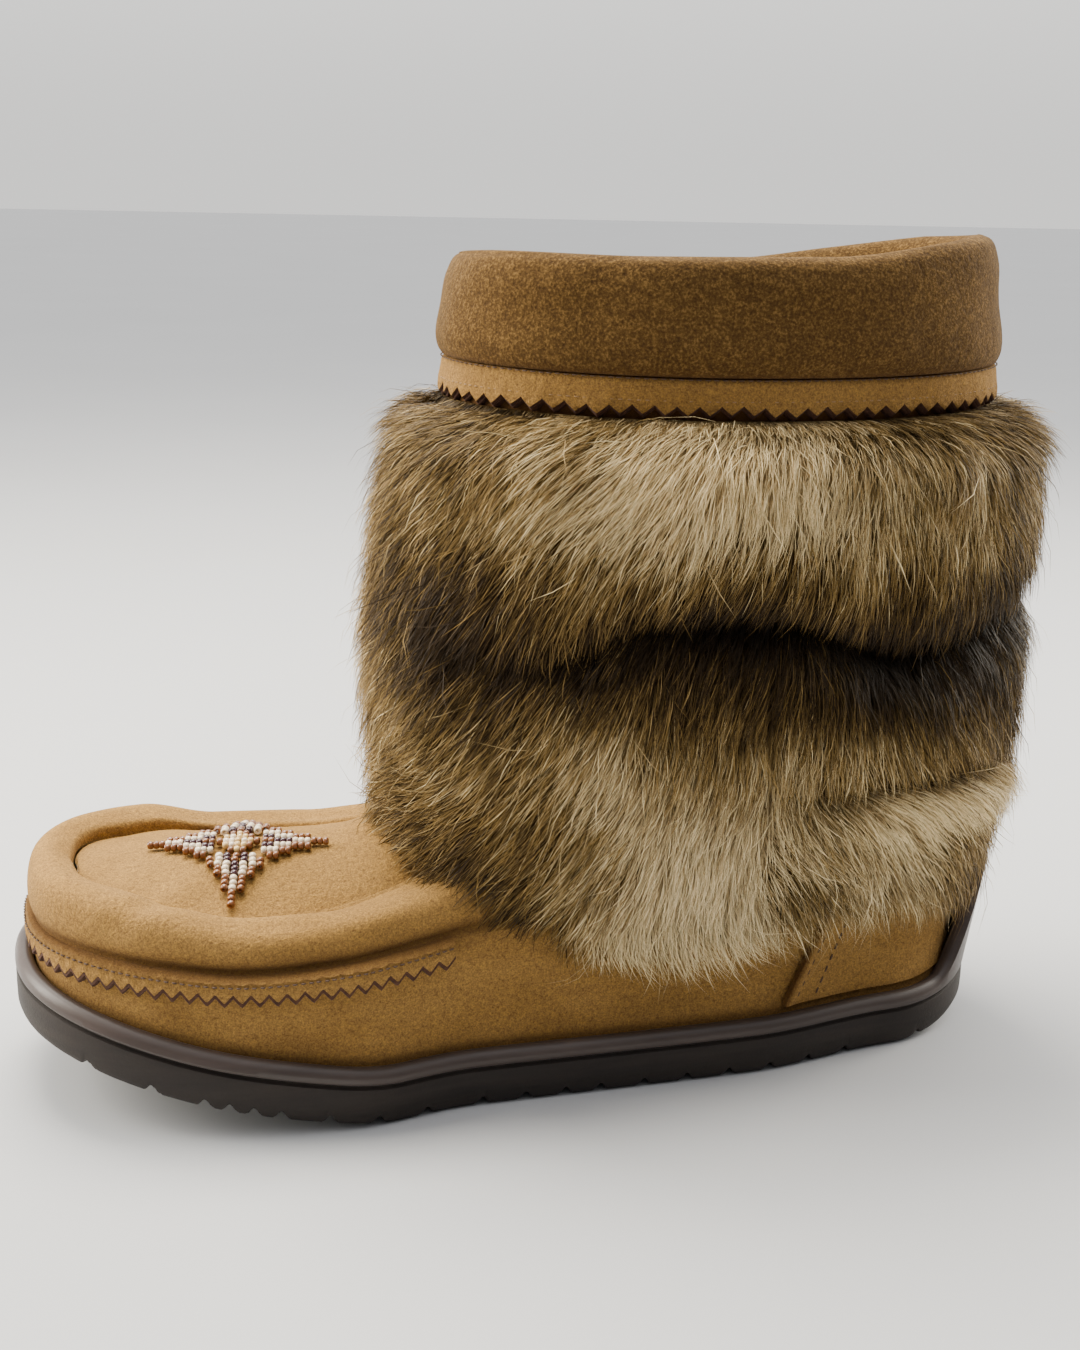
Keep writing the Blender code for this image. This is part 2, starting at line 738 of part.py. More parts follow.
def make_cuff_band():
    # The flat pinked edge under the cuff's seam.
    front, back, half = shaft_oval(CUFF_SEAM_HEIGHT, 0.0)
    around = math.pi * (3 * ((back - front) / 2 + half) - math.sqrt(
        (3 * (back - front) / 2 + half) * ((back - front) / 2 + 3 * half)))
    teeth = round(around / PINK_PITCH)
    inner = []
    outer = []
    for number in range(2 * teeth):
        angle = math.pi * number / teeth
        column_in = []
        column_out = []
        x, y = oval_point(front, back, half, angle)
        seam = seam_height(x)
        bottom = seam - CUFF_BAND_HEIGHT - (PINK_DEPTH if number % 2 else 0.0)
        for height in (bottom, seam - CLEARANCE):
            for sheet, offset in ((column_in, 2 * CLEARANCE), (column_out, 2 * CLEARANCE + BAND_THICKNESS)):
                x, y = oval_point(*shaft_oval(height, offset), angle)
                sheet.append((x, y, height))
        inner.append(column_in)
        outer.append(column_out)
    return shell("cuff_band", 2 * teeth, inner, outer, "suede", True)


def make_cuff():
    # The padded cuff: an upturned channel over the shaft's edge.
    gap = 2 * CLEARANCE
    section = [("out", gap + CUFF_PAD * row.out, row.height) for row in CUFF]
    section += [("in", gap + CUFF_PAD_INSIDE * row.out, row.height) for row in reversed(CUFF[:-2])]
    columns = []
    for number in range(SHAFT_SIDES):
        angle = 2 * math.pi * number / SHAFT_SIDES
        x, y = oval_point(*shaft_oval(CUFF_SEAM_HEIGHT, 0.0), angle)
        low = seam_height(x)
        wall_top = COLLAR_HEIGHT + collar_rise(x, y)
        high = wall_top + CUFF_TOP
        column = []
        for side, offset, share in section:
            height = low + (high - low) * share
            grow = offset if side == "out" else -WALL - offset
            x, y = oval_point(*shaft_oval(min(height, COLLAR_HEIGHT), grow), angle)
            column.append((x, y, height))
        for grow, height in ((-WALL - gap, low), (-WALL - gap, wall_top + gap), (gap, wall_top + gap), (gap, low)):
            x, y = oval_point(*shaft_oval(min(height, COLLAR_HEIGHT), grow), angle)
            column.append((x, y, height))
        columns.append(column)
    rows = len(columns[0])
    vertices = [p for column in columns for p in column]
    faces = []
    for c in range(SHAFT_SIDES):
        n = (c + 1) % SHAFT_SIDES
        for r in range(rows):
            s = (r + 1) % rows
            faces.append((c * rows + r, n * rows + r, n * rows + s, c * rows + s))
    return make_object("cuff", vertices, faces, "suede", 50.0)


def fur_top(x):
    return seam_height(x) - CUFF_BAND_HEIGHT - PINK_DEPTH - 4 * CLEARANCE


def fur_ring(row):
    # One ring of the sleeve's outer form, with locks, the hem's points and the fold.
    share = row / (FUR_ROWS - 1)

    def place(angle):
        plain = oval_point(*shaft_oval(CREASE_HEIGHT, 0.0), angle)
        front, back, half = shaft_oval(CREASE_HEIGHT, 0.0)
        along = (plain[0] - front) / (back - front)
        number = round(angle / (2 * math.pi) * FUR_SIDES)
        hem = table_value(HEM, "along", "height", along) * FUR_HEM_HEIGHT
        top = fur_top(plain[0])
        height = hem + (top - hem) * share
        if row == 0 and number % 2:
            height -= 2 * LOCK_RELIEF
        level = height / COLLAR_HEIGHT
        depths = [table_value(FUR, "height", name, level) for name in ("front", "back", "side")]
        lock = LOCK_RELIEF * (0.5 if (number + row // 3) % 2 else -0.5) * (1.4 - 0.5 * (row % 3))
        edge = min(share * 5, (1 - share) * 5, 1.0)
        fold = table_value(CREASE, "along", "height", along) * CREASE_DEPTH + CREASE_HEIGHT
        depth = table_value(CREASE, "along", "depth", along) * CREASE_DEPTH
        crease = depth * math.exp(-((height - fold) / (1.4 * CREASE_DEPTH)) ** 2)
        front, back, half = shaft_oval(height, 0.0)
        extra = lock * edge - crease
        oval = (front - depths[0] * FUR_DEPTH - extra, back + depths[1] * FUR_DEPTH + extra,
                half + depths[2] * FUR_DEPTH + extra)
        x, y = oval_point(*oval, angle)
        return x, y, height
    return ring_around(FUR_SIDES, place)


def make_fur():
    # The sleeve is cut from one outer form by the upper, the shaft and the sole,
    # each grown by the clearance and the thickness of what lies on it.
    fur = stack_rings("fur_sleeve", [fur_ring(row) for row in range(FUR_ROWS)], "fur")
    vertices, faces = upper_solid(COUNTER_THICKNESS + 4 * CLEARANCE, floor=TRAY_HEIGHT)
    combine(fur, make_cutter("fur_foot_cutter", vertices, faces), "DIFFERENCE")
    combine(fur, shaft_solid("fur_shaft_cutter", 2 * CLEARANCE), "DIFFERENCE")
    rings = [
        local_ring(-2 * CLEARANCE, GROOVE_HEIGHT),
        rim_ring(-2 * CLEARANCE, 0.0018),
        rim_ring(0.0014, -2 * CLEARANCE),
        rim_ring(RIM_WIDTH + 2 * CLEARANCE, -2 * CLEARANCE),
    ]
    vertices, faces = foot_solid(
        rings, 2, lambda p, s, t: GROOVE_HEIGHT + lift(p[0]),
        2, lambda p, s, t: float(p[2]))
    combine(fur, make_cutter("fur_sole_cutter", vertices, faces), "DIFFERENCE")
    return fur


def plug_surface(x, y):
    # Height of the plug at a place: the station with that x, then across it.
    station = station_at((HEEL_BACK - x) / SOLE_LENGTH)
    near = inset_point(station, upper_section(station)[-1][0])
    far_station = 2 * STATIONS - station
    far = inset_point(far_station, upper_section(far_station)[-1][0])
    share = (y - near[1]) / (far[1] - near[1])
    return plug_height(x, station, share)


def make_bead_field(name, lanes, first, turn):
    # One closed field of bead lanes on the plug: a ridge for each lane, as long
    # as its beads, turned about the star's centre.
    centre_x = HEEL_BACK - STAR_SHARE * SOLE_LENGTH
    splits = sorted({0, *lanes, *[-n for n in lanes if first is None]})
    index = {}
    vertices = []
    faces = []
    edges = {}

    def vertex(column, along, top):
        key = (column, along, top)
        if key not in index:
            across = (column - len(lanes)) * BEAD_DIAMETER / 2
            if first is None:
                out = along * BEAD_LENGTH / 2
            else:
                out = first + along * BEAD_LENGTH
            x = centre_x + out * math.cos(turn) - across * math.sin(turn)
            y = STAR_OFFSET + out * math.sin(turn) + across * math.cos(turn)
            rise = 2 * CLEARANCE
            if top:
                rise += BEAD_DIAMETER * (0.95 if column % 2 else 0.70)
            index[key] = len(vertices)
            vertices.append((x, y, plug_surface(x, y) + rise))
        return index[key]

    for lane, beads in enumerate(lanes):
        low = -beads if first is None else 0
        for a, b in zip(splits, splits[1:]):
            if a < low or b > beads:
                continue
            for column in (2 * lane, 2 * lane + 1):
                corners = [(column, a), (column, b), (column + 1, b), (column + 1, a)]
                faces.append(tuple(vertex(c, s, True) for c, s in corners))
                faces.append(tuple(vertex(c, s, False) for c, s in reversed(corners)))
                for p, q in zip(corners, corners[1:] + corners[:1]):
                    edges[(p, q)] = True
    for p, q in edges:
        if (q, p) not in edges:
            faces.append((vertex(*p, False), vertex(*q, False), vertex(*q, True), vertex(*p, True)))
    return make_object(name, vertices, faces, "beads", 30.0)


def make_beads():
    root = BEAD_DIAMETER * len(ARM_LANES) / 2 + CLEARANCE
    make_bead_field("bead_centre", CENTRE_LANES, None, STAR_TURN)
    for name, quarter in (("instep", 0), ("inner", 1), ("toe", 2), ("outer", 3)):
        make_bead_field("bead_arm_" + name, ARM_LANES, root, STAR_TURN + quarter * math.pi / 2)


def main():
    clear_scene()
    make_outsole()
    make_insole()
    make_upper()
    make_toe_band()
    make_counter()
    make_fur()
    make_cuff_band()
    make_cuff()
    make_beads()


main()
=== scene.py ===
import math

import bpy
import numpy as np
from mathutils import Matrix, Vector


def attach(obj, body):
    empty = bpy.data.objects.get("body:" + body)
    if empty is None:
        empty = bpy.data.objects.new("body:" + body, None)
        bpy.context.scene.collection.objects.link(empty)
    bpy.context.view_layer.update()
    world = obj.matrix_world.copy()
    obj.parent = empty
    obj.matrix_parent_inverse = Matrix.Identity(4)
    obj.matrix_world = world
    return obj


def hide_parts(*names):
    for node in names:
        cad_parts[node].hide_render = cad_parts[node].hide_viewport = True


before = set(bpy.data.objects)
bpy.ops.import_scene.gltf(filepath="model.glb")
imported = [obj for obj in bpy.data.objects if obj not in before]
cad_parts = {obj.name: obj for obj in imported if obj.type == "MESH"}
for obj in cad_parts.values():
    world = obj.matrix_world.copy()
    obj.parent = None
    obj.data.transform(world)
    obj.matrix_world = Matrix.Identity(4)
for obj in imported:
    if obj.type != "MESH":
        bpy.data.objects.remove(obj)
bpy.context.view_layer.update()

rng = np.random.default_rng(41)

# The last: the sole's outline and the heights that the upper is drawn from
last = {
    "length": 0.276,
    "ballWidth": 0.103,
    "heelBack": 0.038,
    "toeRound": 0.066,
    "heelRound": 0.036,
    "toeSwing": 0.003,
    "toeSpring": 0.021,
    "springStart": 0.655,
    "heelLift": 0.006,
    "heelLiftLength": 0.034,
    "toeHeight": 0.062,
    # along from the heel, then half widths as shares of the ball's width
    "outline": {"along": [0, 0.14, 0.29, 0.43, 0.58, 0.71, 0.81, 0.91, 1],
                "outer": [0.318, 0.352, 0.430, 0.443, 0.453, 0.515, 0.513, 0.497, 0.480],
                "inner": [0.345, 0.360, 0.352, 0.345, 0.395, 0.468, 0.490, 0.482, 0.475]},
    # heights of seam, roll, plug edge and plug ridge as shares of the toe's height
    "heights": {"along": [0, 0.45, 0.56, 0.62, 0.69, 0.79, 0.88, 0.95, 1],
                "seamOut": [0.80, 0.80, 0.79, 0.75, 0.72, 0.695, 0.725, 0.755, 0.770],
                "seamIn": [0.80, 0.80, 0.82, 0.79, 0.76, 0.75, 0.76, 0.77, 0.77],
                "crestOut": [1.15, 1.12, 1.00, 0.91, 0.875, 0.865, 0.920, 0.975, 1.000],
                "crestIn": [1.15, 1.12, 1.06, 0.98, 0.935, 0.935, 1.005, 1.010, 1.000],
                "edgeOut": [1.20, 1.18, 1.02, 0.90, 0.845, 0.820, 0.855, 0.905, 0.922],
                "edgeIn": [1.20, 1.18, 1.08, 0.97, 0.915, 0.900, 0.925, 0.925, 0.922],
                "ridge": [1.24, 1.26, 1.30, 1.12, 0.995, 0.965, 0.950, 0.930, 0.922]},
}

# The shaft's ovals by height, front and back measured along the sole
shaft = {
    "collarHeight": 0.214,
    "width": 0.090,
    "collarRise": 0.005,
    "collarLean": 0.0042,
    "rows": {"height": [0.150, 0.257, 0.350, 0.467, 0.740, 0.864, 1.0],
             "front": [0.530, 0.628, 0.624, 0.609, 0.583, 0.575, 0.564],
             "back": [0.060, 0.034, 0.030, 0.030, 0.033, 0.028, 0.043],
             "half": [0.260, 0.365, 0.435, 0.474, 0.494, 0.500, 0.496]},
    "collar": {"along": [0, 0.25, 0.60, 0.85, 1], "rise": [-0.20, -0.46, -0.38, 0.40, 1.0]},
    "seamHeight": 0.1915,
    "seamRise": 0.0015,
}


# Curves and outlines

def smoothCurve(x, xs, ys):
    # A smooth curve through a row of values that never overshoots them
    xs = np.asarray(xs, float)
    ys = np.asarray(ys, float)
    slopes = np.diff(ys) / np.diff(xs)
    tangents = np.zeros(len(xs))
    tangents[0] = slopes[0]
    tangents[-1] = slopes[-1]
    same = slopes[:-1] * slopes[1:] > 0
    total = np.where(same, slopes[:-1] + slopes[1:], 1.0)
    tangents[1:-1] = np.where(same, 2 * slopes[:-1] * slopes[1:] / total, 0.0)
    x = np.clip(np.asarray(x, float), xs[0], xs[-1])
    i = np.clip(np.searchsorted(xs, x, side="right") - 1, 0, len(xs) - 2)
    span = xs[i + 1] - xs[i]
    t = (x - xs[i]) / span
    rise = ys[i + 1] - ys[i]
    bend = (tangents[i] * span - rise) * (1 - t) + (rise - tangents[i + 1] * span) * t
    return ys[i] + rise * t + t * (1 - t) * bend


def smoothStep(low, high, x):
    t = np.clip((x - low) / (high - low), 0.0, 1.0)
    return t * t * (3 - 2 * t)


def bell(x, middle, width):
    return np.exp(-((x - middle) / width) ** 2)


def alongOf(turn):
    return (1 - np.cos(turn)) / 2


def turnsFrom(alongs):
    # Turns round the outline, outer side from heel to toe and back on the inner
    outer = np.arccos(1 - 2 * np.clip(alongs, 0, 1))
    return np.concatenate([outer, 2 * np.pi - outer[1:-1][::-1]])


def evenTurns(count):
    return np.arange(count) * 2 * np.pi / count


def runAlong(points):
    # Distance from a line's first point along it, at each of its points
    return np.concatenate([[0], np.cumsum(np.linalg.norm(np.diff(points, axis=0), axis=1))])


def atHeight(xy, height):
    return np.concatenate([xy, height[:, None]], 1)


def outlinePoint(turn):
    along = alongOf(turn)
    distance = along * last["length"]
    toHeel = np.clip(distance / last["heelRound"], 0, 1)
    heelEnd = (1 - (1 - toHeel) ** 2.14) ** (1 / 2.14)
    toToe = np.clip((last["length"] - distance) / last["toeRound"], 0, 1)
    toeEnd = (1 - (1 - toToe) ** 2.5) ** (1 / 2.5)
    table = last["outline"]
    outer = -smoothCurve(along, table["along"], table["outer"])
    inner = smoothCurve(along, table["along"], table["inner"])
    half = np.where(np.sin(turn) >= 0, outer, inner) * last["ballWidth"]
    centre = last["toeSwing"] * smoothStep(0.66, 1.0, along)
    return np.stack([last["heelBack"] - distance, centre + half * heelEnd * toeEnd], -1)


def outlineInward(turn):
    step = outlinePoint(turn + 0.02) - outlinePoint(turn - 0.02)
    inward = np.stack([step[..., 1], -step[..., 0]], -1)
    return inward / np.linalg.norm(inward, axis=-1, keepdims=True)


def insetPoint(turn, inset):
    return outlinePoint(turn) + outlineInward(turn) * np.asarray(inset)[..., None]


def treadLift(x):
    distance = last["heelBack"] - np.asarray(x, float)
    share = (distance / last["length"] - last["springStart"]) / (1 - last["springStart"])
    spring = np.maximum(share, 0) ** 1.35 * last["toeSpring"]
    return spring + np.maximum(1 - distance / last["heelLiftLength"], 0) ** 2 * last["heelLift"]


def sideHeight(name, turn):
    table = last["heights"]
    along = alongOf(turn)
    inner = smoothStep(-0.35, 0.35, -np.sin(turn))
    outValue = smoothCurve(along, table["along"], table[name + "Out"])
    inValue = smoothCurve(along, table["along"], table[name + "In"])
    return (outValue * (1 - inner) + inValue * inner) * last["toeHeight"]


def ovalPoint(front, back, half, angle):
    c = np.cos(angle)
    s = np.sin(angle)
    x = (front + back) / 2 + (back - front) / 2 * np.sign(c) * np.abs(c) ** (2 / 2.25)
    return np.stack([x, half * np.sign(s) * np.abs(s) ** (2 / 2.25)], -1)


def shaftOval(height, grow):
    share = np.asarray(height) / shaft["collarHeight"]
    rows = shaft["rows"]
    front = last["heelBack"] - smoothCurve(share, rows["height"], rows["front"]) * last["length"] - grow
    back = last["heelBack"] - smoothCurve(share, rows["height"], rows["back"]) * last["length"] + grow
    half = smoothCurve(share, rows["height"], rows["half"]) * shaft["width"] + grow
    return front, back, half


def collarRise(x, y):
    front, back, half = shaftOval(shaft["collarHeight"], 0.0)
    rise = smoothCurve((x - front) / (back - front), shaft["collar"]["along"], shaft["collar"]["rise"])
    return rise * shaft["collarRise"] - shaft["collarLean"] * y / (2 * half)


def cuffSeam(x):
    front, back = shaftOval(shaft["seamHeight"], 0.0)[:2]
    place = (2 * x - front - back) / (back - front)
    return shaft["seamHeight"] + shaft["seamRise"] * np.minimum(place * place, 1.2)


def valueNoise(points, scale, seed):
    # Smooth noise between -1 and 1 at points in space, from a hashed lattice
    q = np.asarray(points, float) * scale
    cell = np.floor(q).astype(np.int64)
    t = q - cell
    t = t * t * (3 - 2 * t)
    total = np.zeros(q.shape[:-1])
    for dx in (0, 1):
        for dy in (0, 1):
            for dz in (0, 1):
                corner = cell + np.array([dx, dy, dz])
                n = corner[..., 0] * 73856093 ^ corner[..., 1] * 19349663 ^ corner[..., 2] * 83492791
                n = (n ^ seed * 2654435761) & 0x7FFFFFFF
                n = (n * 1103515245 + 12345) & 0x7FFFFFFF
                n = ((n >> 9) * 22695477 + 1) & 0x7FFFFFFF
                value = (n & 0xFFFF) / 32767.5 - 1
                weight = (t[..., 0] if dx else 1 - t[..., 0]) * (t[..., 1] if dy else 1 - t[..., 1])
                total += value * weight * (t[..., 2] if dz else 1 - t[..., 2])
    return total


# Meshes

def makeMesh(name, points, faceSets, sharp=None):
    # faceSets is a list of whole-number arrays, one for each count of corners
    points = np.asarray(points, np.float32).reshape(-1, 3)
    faceSets = [np.asarray(f, np.int32) for f in faceSets if len(f)]
    mesh = bpy.data.meshes.new(name)
    mesh.vertices.add(len(points))
    mesh.vertices.foreach_set("co", points.ravel())
    corners = np.concatenate([f.ravel() for f in faceSets])
    sizes = np.concatenate([np.full(len(f), f.shape[1], np.int32) for f in faceSets])
    starts = np.concatenate([[0], np.cumsum(sizes)[:-1]]).astype(np.int32)
    mesh.loops.add(len(corners))
    mesh.loops.foreach_set("vertex_index", corners)
    mesh.polygons.add(len(sizes))
    mesh.polygons.foreach_set("loop_start", starts)
    mesh.update(calc_edges=True)
    mesh.validate()
    mesh.shade_smooth()
    if sharp is not None:
        mesh.set_sharp_from_angle(angle=math.radians(sharp))
    return mesh


def makePiece(name, points, faceSets, materials, sharp=40.0):
    mesh = makeMesh(name, points, faceSets, sharp)
    piece = bpy.data.objects.new(name, mesh)
    bpy.context.scene.collection.objects.link(piece)
    for material in materials:
        mesh.materials.append(material)
    return piece


def finishPiece(piece, slotName, *nodes):
    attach(piece, "root")
    if nodes:
        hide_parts(*nodes)


def ringQuads(rows, count, flip=False):
    # Side faces between closed rings that follow each other in one list
    r, i = np.meshgrid(np.arange(rows - 1), np.arange(count), indexing="ij")
    j = (i + 1) % count
    quads = np.stack([r * count + i, r * count + j, (r + 1) * count + j, (r + 1) * count + i], -1)
    quads = quads.reshape(-1, 4)
    return quads[:, ::-1] if flip else quads


def loopQuads(rows, count):
    # The same, with the last ring joined to the first
    i = np.arange(count)
    j = (i + 1) % count
    top = (rows - 1) * count
    close = np.stack([top + i, top + j, j, i], -1)
    return np.concatenate([ringQuads(rows, count), close])


def shellFaces(columns, total, closed):
    # Faces of a shell whose columns are closed loops of total points each
    c, r = np.meshgrid(np.arange(columns if closed else columns - 1), np.arange(total), indexing="ij")
    n = (c + 1) % columns
    s = (r + 1) % total
    quads = np.stack([c * total + r, n * total + r, n * total + s, c * total + s], -1).reshape(-1, 4)
    if closed:
        return [quads]
    end = np.arange(total)[None]
    return [quads, end, (columns - 1) * total + end[:, ::-1]]


def ladderCap(ring, firstIndex, ringIndex, shares, heightAt, upward):
    # Rungs from the outer to the inner side over a ring with paired stations
    count = len(ring)
    half = count // 2
    near = np.arange(1, half)
    far = count - near
    inside = shares[1:-1]
    rungs = ring[near][:, None] * (1 - inside[None, :, None]) + ring[far][:, None] * inside[None, :, None]
    rungs[..., 2] = heightAt(rungs, near, inside)
    table = np.zeros((half + 1, len(shares)), np.int64)
    table[0] = ringIndex
    table[half] = ringIndex + half
    table[1:half, 0] = ringIndex + near
    table[1:half, -1] = ringIndex + far
    table[1:half, 1:-1] = firstIndex + np.arange(rungs.shape[0] * rungs.shape[1]).reshape(rungs.shape[:2])
    quads = np.stack([table[:-1, :-1], table[:-1, 1:], table[1:, 1:], table[1:, :-1]], -1)
    first = quads[0][:, [0, 2, 3]]
    end = quads[-1][:, [0, 1, 2]]
    quads = quads[1:-1].reshape(-1, 4)
    tris = np.concatenate([first, end])
    if not upward:
        quads = quads[:, ::-1]
        tris = tris[:, ::-1]
    return rungs.reshape(-1, 3), quads, tris


def footForm(turns, insets, heights, bottomShares, bottomHeight, topShares, topHeight):
    # A closed form over the sole's outline: insets and heights are level by turn
    rings = [atHeight(insetPoint(turns, inset), height) for inset, height in zip(insets, heights)]
    count = len(turns)
    points = [np.concatenate(rings)]
    quads = [ringQuads(len(rings), count, True)]
    tris = []
    total = len(rings) * count
    for ring, start, shares, height, upward in (
            (rings[0], 0, bottomShares, bottomHeight, False),
            (rings[-1], (len(rings) - 1) * count, topShares, topHeight, True)):
        cap, capQuads, capTris = ladderCap(ring, total, start, shares, height, upward)
        points.append(cap)
        total += len(cap)
        quads.append(capQuads)
        tris.append(capTris)
    return np.concatenate(points), [np.concatenate(quads), np.concatenate(tris)]


def refineLine(points, cuts, corners=()):
    # A smooth line through a row of points, straight on both sides of a corner
    count = points.shape[-2]
    steps = np.diff(points, axis=-2)
    lengths = np.linalg.norm(steps, axis=-1, keepdims=True) + 1e-9
    slopes = steps / lengths
    pieces = []

    def tangent(i, side):
        if i == 0:
            return slopes[..., 0, :]
        if i == count - 1:
            return slopes[..., -1, :]
        if i in corners:
            return slopes[..., i, :] if side > 0 else slopes[..., i - 1, :]
        a = lengths[..., i - 1, :]
        b = lengths[..., i, :]
        return (slopes[..., i - 1, :] * b + slopes[..., i, :] * a) / (a + b)

    for i in range(count - 1):
        n = cuts[i]
        d = lengths[..., i, :]
        for k in range(n):
            t = k / n
            h00 = 2 * t ** 3 - 3 * t ** 2 + 1
            h10 = t ** 3 - 2 * t ** 2 + t
            h01 = 3 * t ** 2 - 2 * t ** 3
            h11 = t ** 3 - t ** 2
            pieces.append(points[..., i, :] * h00 + tangent(i, 1) * d * h10
                          + points[..., i + 1, :] * h01 + tangent(i + 1, -1) * d * h11)
    pieces.append(points[..., -1, :])
    return np.stack(pieces, -2)


def cosShares(cells):
    return (1 - np.cos(np.linspace(0, np.pi, cells + 1))) / 2


# Materials

def newMaterial(name, roughness, **sockets):
    material = bpy.data.materials.new(name)
    material.use_nodes = True
    shader = material.node_tree.nodes["Principled BSDF"]
    shader.inputs["Roughness"].default_value = roughness
    for socket, value in sockets.items():
        shader.inputs[socket.replace("_", " ")].default_value = value
    return material, material.node_tree, shader


def addNode(tree, kind, **settings):
    node = tree.nodes.new(kind)
    for key, value in settings.items():
        if hasattr(node, key):
            setattr(node, key, value)
        else:
            node.inputs[key.replace("_", " ")].default_value = value
    return node


def noiseNode(tree, scale, detail=2.0, rough=0.5, stretch=(1, 1, 1)):
    coords = addNode(tree, "ShaderNodeTexCoord")
    mapping = addNode(tree, "ShaderNodeMapping")
    mapping.inputs["Scale"].default_value = stretch
    noise = addNode(tree, "ShaderNodeTexNoise")
    noise.inputs["Scale"].default_value = scale
    noise.inputs["Detail"].default_value = detail
    noise.inputs["Roughness"].default_value = rough
    tree.links.new(coords.outputs["Object"], mapping.inputs["Vector"])
    tree.links.new(mapping.outputs["Vector"], noise.inputs["Vector"])
    return noise


def rampNode(tree, source, stops):
    ramp = addNode(tree, "ShaderNodeValToRGB")
    elements = ramp.color_ramp.elements
    while len(elements) < len(stops):
        elements.new(0.5)
    for element, (place, colour) in zip(elements, stops):
        element.position = place
        element.color = (*colour, 1.0)
    tree.links.new(source, ramp.inputs["Fac"])
    return ramp.outputs["Color"]


def mixColours(tree, blend, amount, first, second):
    mix = addNode(tree, "ShaderNodeMix", data_type="RGBA", blend_type=blend)
    for socket, value in (("Factor", amount), ("A", first), ("B", second)):
        kind = "VALUE" if socket == "Factor" else "RGBA"
        target = next(i for i in mix.inputs if i.name == socket and i.type == kind)
        if isinstance(value, bpy.types.NodeSocket):
            tree.links.new(value, target)
        elif socket == "Factor":
            target.default_value = value
        else:
            target.default_value = (*value, 1.0)
    return next(o for o in mix.outputs if o.type == "RGBA")


def mathNode(tree, operation, first, second):
    node = addNode(tree, "ShaderNodeMath", operation=operation)
    for i, value in enumerate((first, second)):
        if isinstance(value, bpy.types.NodeSocket):
            tree.links.new(value, node.inputs[i])
        else:
            node.inputs[i].default_value = value
    return node.outputs[0]


def rangeNode(tree, source, begin, end, low, high, kind="LINEAR"):
    # Values from begin to end become values from low to high
    node = addNode(tree, "ShaderNodeMapRange", interpolation_type=kind)
    for socket, value in (("From Min", begin), ("From Max", end), ("To Min", low), ("To Max", high)):
        node.inputs[socket].default_value = value
    tree.links.new(source, node.inputs["Value"])
    return node.outputs["Result"]


def bumpNode(tree, height, strength, distance, under=None):
    bump = addNode(tree, "ShaderNodeBump")
    bump.inputs["Strength"].default_value = strength
    bump.inputs["Distance"].default_value = distance
    tree.links.new(height, bump.inputs["Height"])
    if under is not None:
        tree.links.new(under, bump.inputs["Normal"])
    return bump.outputs["Normal"]


def attributeNode(tree, name):
    return addNode(tree, "ShaderNodeAttribute", attribute_name=name).outputs["Color"]


def redOf(tree, colour):
    split = addNode(tree, "ShaderNodeSeparateColor")
    tree.links.new(colour, split.inputs[0])
    return split.outputs[0]


def suedeMaterial(name, dark, middle, light, shadeColour, fineScale):
    # Nap: fine grains, brushed patches, and a dark tint by the 'shade' attribute, mostly painted shade in
    # seams, creases, gaps and under parts
    material, tree, shader = newMaterial(name, 0.93, Sheen_Weight=0.05, Sheen_Roughness=0.5)
    shader.inputs["Sheen Tint"].default_value = (1.0, 0.80, 0.52, 1.0)
    shader.inputs["Specular IOR Level"].default_value = 0.10
    grain = noiseNode(tree, fineScale, 4.0, 0.65)
    clumps = noiseNode(tree, fineScale * 0.38, 3.0, 0.6)
    brushed = noiseNode(tree, 34, 3.0, 0.5, (1, 1, 1.8))
    both = mathNode(tree, "ADD", mathNode(tree, "MULTIPLY", grain.outputs["Fac"], 0.72),
                    mathNode(tree, "MULTIPLY", clumps.outputs["Fac"], 0.28))
    colour = rampNode(tree, both, [(0.36, dark), (0.50, middle), (0.64, light)])
    patches = rampNode(tree, brushed.outputs["Fac"],
                       [(0.32, (0.86, 0.84, 0.80)), (0.62, (1.04, 1.04, 1.04))])
    colour = mixColours(tree, "MULTIPLY", 1.0, colour, patches)
    # the 'shade' attribute: mostly painted shade
    shade = redOf(tree, attributeNode(tree, "shade"))
    colour = mixColours(tree, "MIX", shade, colour, shadeColour)
    tree.links.new(colour, shader.inputs["Base Color"])
    fine = bumpNode(tree, grain.outputs["Fac"], 0.55, 0.0005)
    tree.links.new(bumpNode(tree, clumps.outputs["Fac"], 0.45, 0.0009, fine), shader.inputs["Normal"])
    return material


def paintPoints(piece, name, colours):
    # A colour for each point of a piece, read by its material
    layer = piece.data.color_attributes.new(name, "FLOAT_COLOR", "POINT")
    full = np.ones((len(colours), 4), np.float32)
    full[:, :3] = np.clip(colours, 0, 1)
    layer.data.foreach_set("color", full.ravel())


def setShade(piece, values):
    # How far each point of a suede piece goes towards the dark tint, mostly as painted shade
    paintPoints(piece, "shade", np.asarray(values)[:, None])


def pointsOf(piece):
    points = np.zeros(len(piece.data.vertices) * 3, np.float32)
    piece.data.vertices.foreach_get("co", points)
    return points.reshape(-1, 3).astype(float)


suedeTones = {
    "dark": (0.155, 0.081, 0.028),
    "middle": (0.278, 0.156, 0.047),
    "light": (0.440, 0.244, 0.060),
    # the dark tint that the painted shade goes towards
    "seam": (0.075, 0.032, 0.010),
    # the cuff: the same suede made darker, as painted shade over the cuff
    "cuffDark": (0.044, 0.021, 0.006),
    "cuffMiddle": (0.086, 0.045, 0.012),
    "cuffLight": (0.200, 0.112, 0.033),
    "cutEdgeAndShadow": (0.042, 0.015, 0.008),
}
suede = suedeMaterial("suede", suedeTones["dark"], suedeTones["middle"], suedeTones["light"],
                      suedeTones["seam"], 2300)
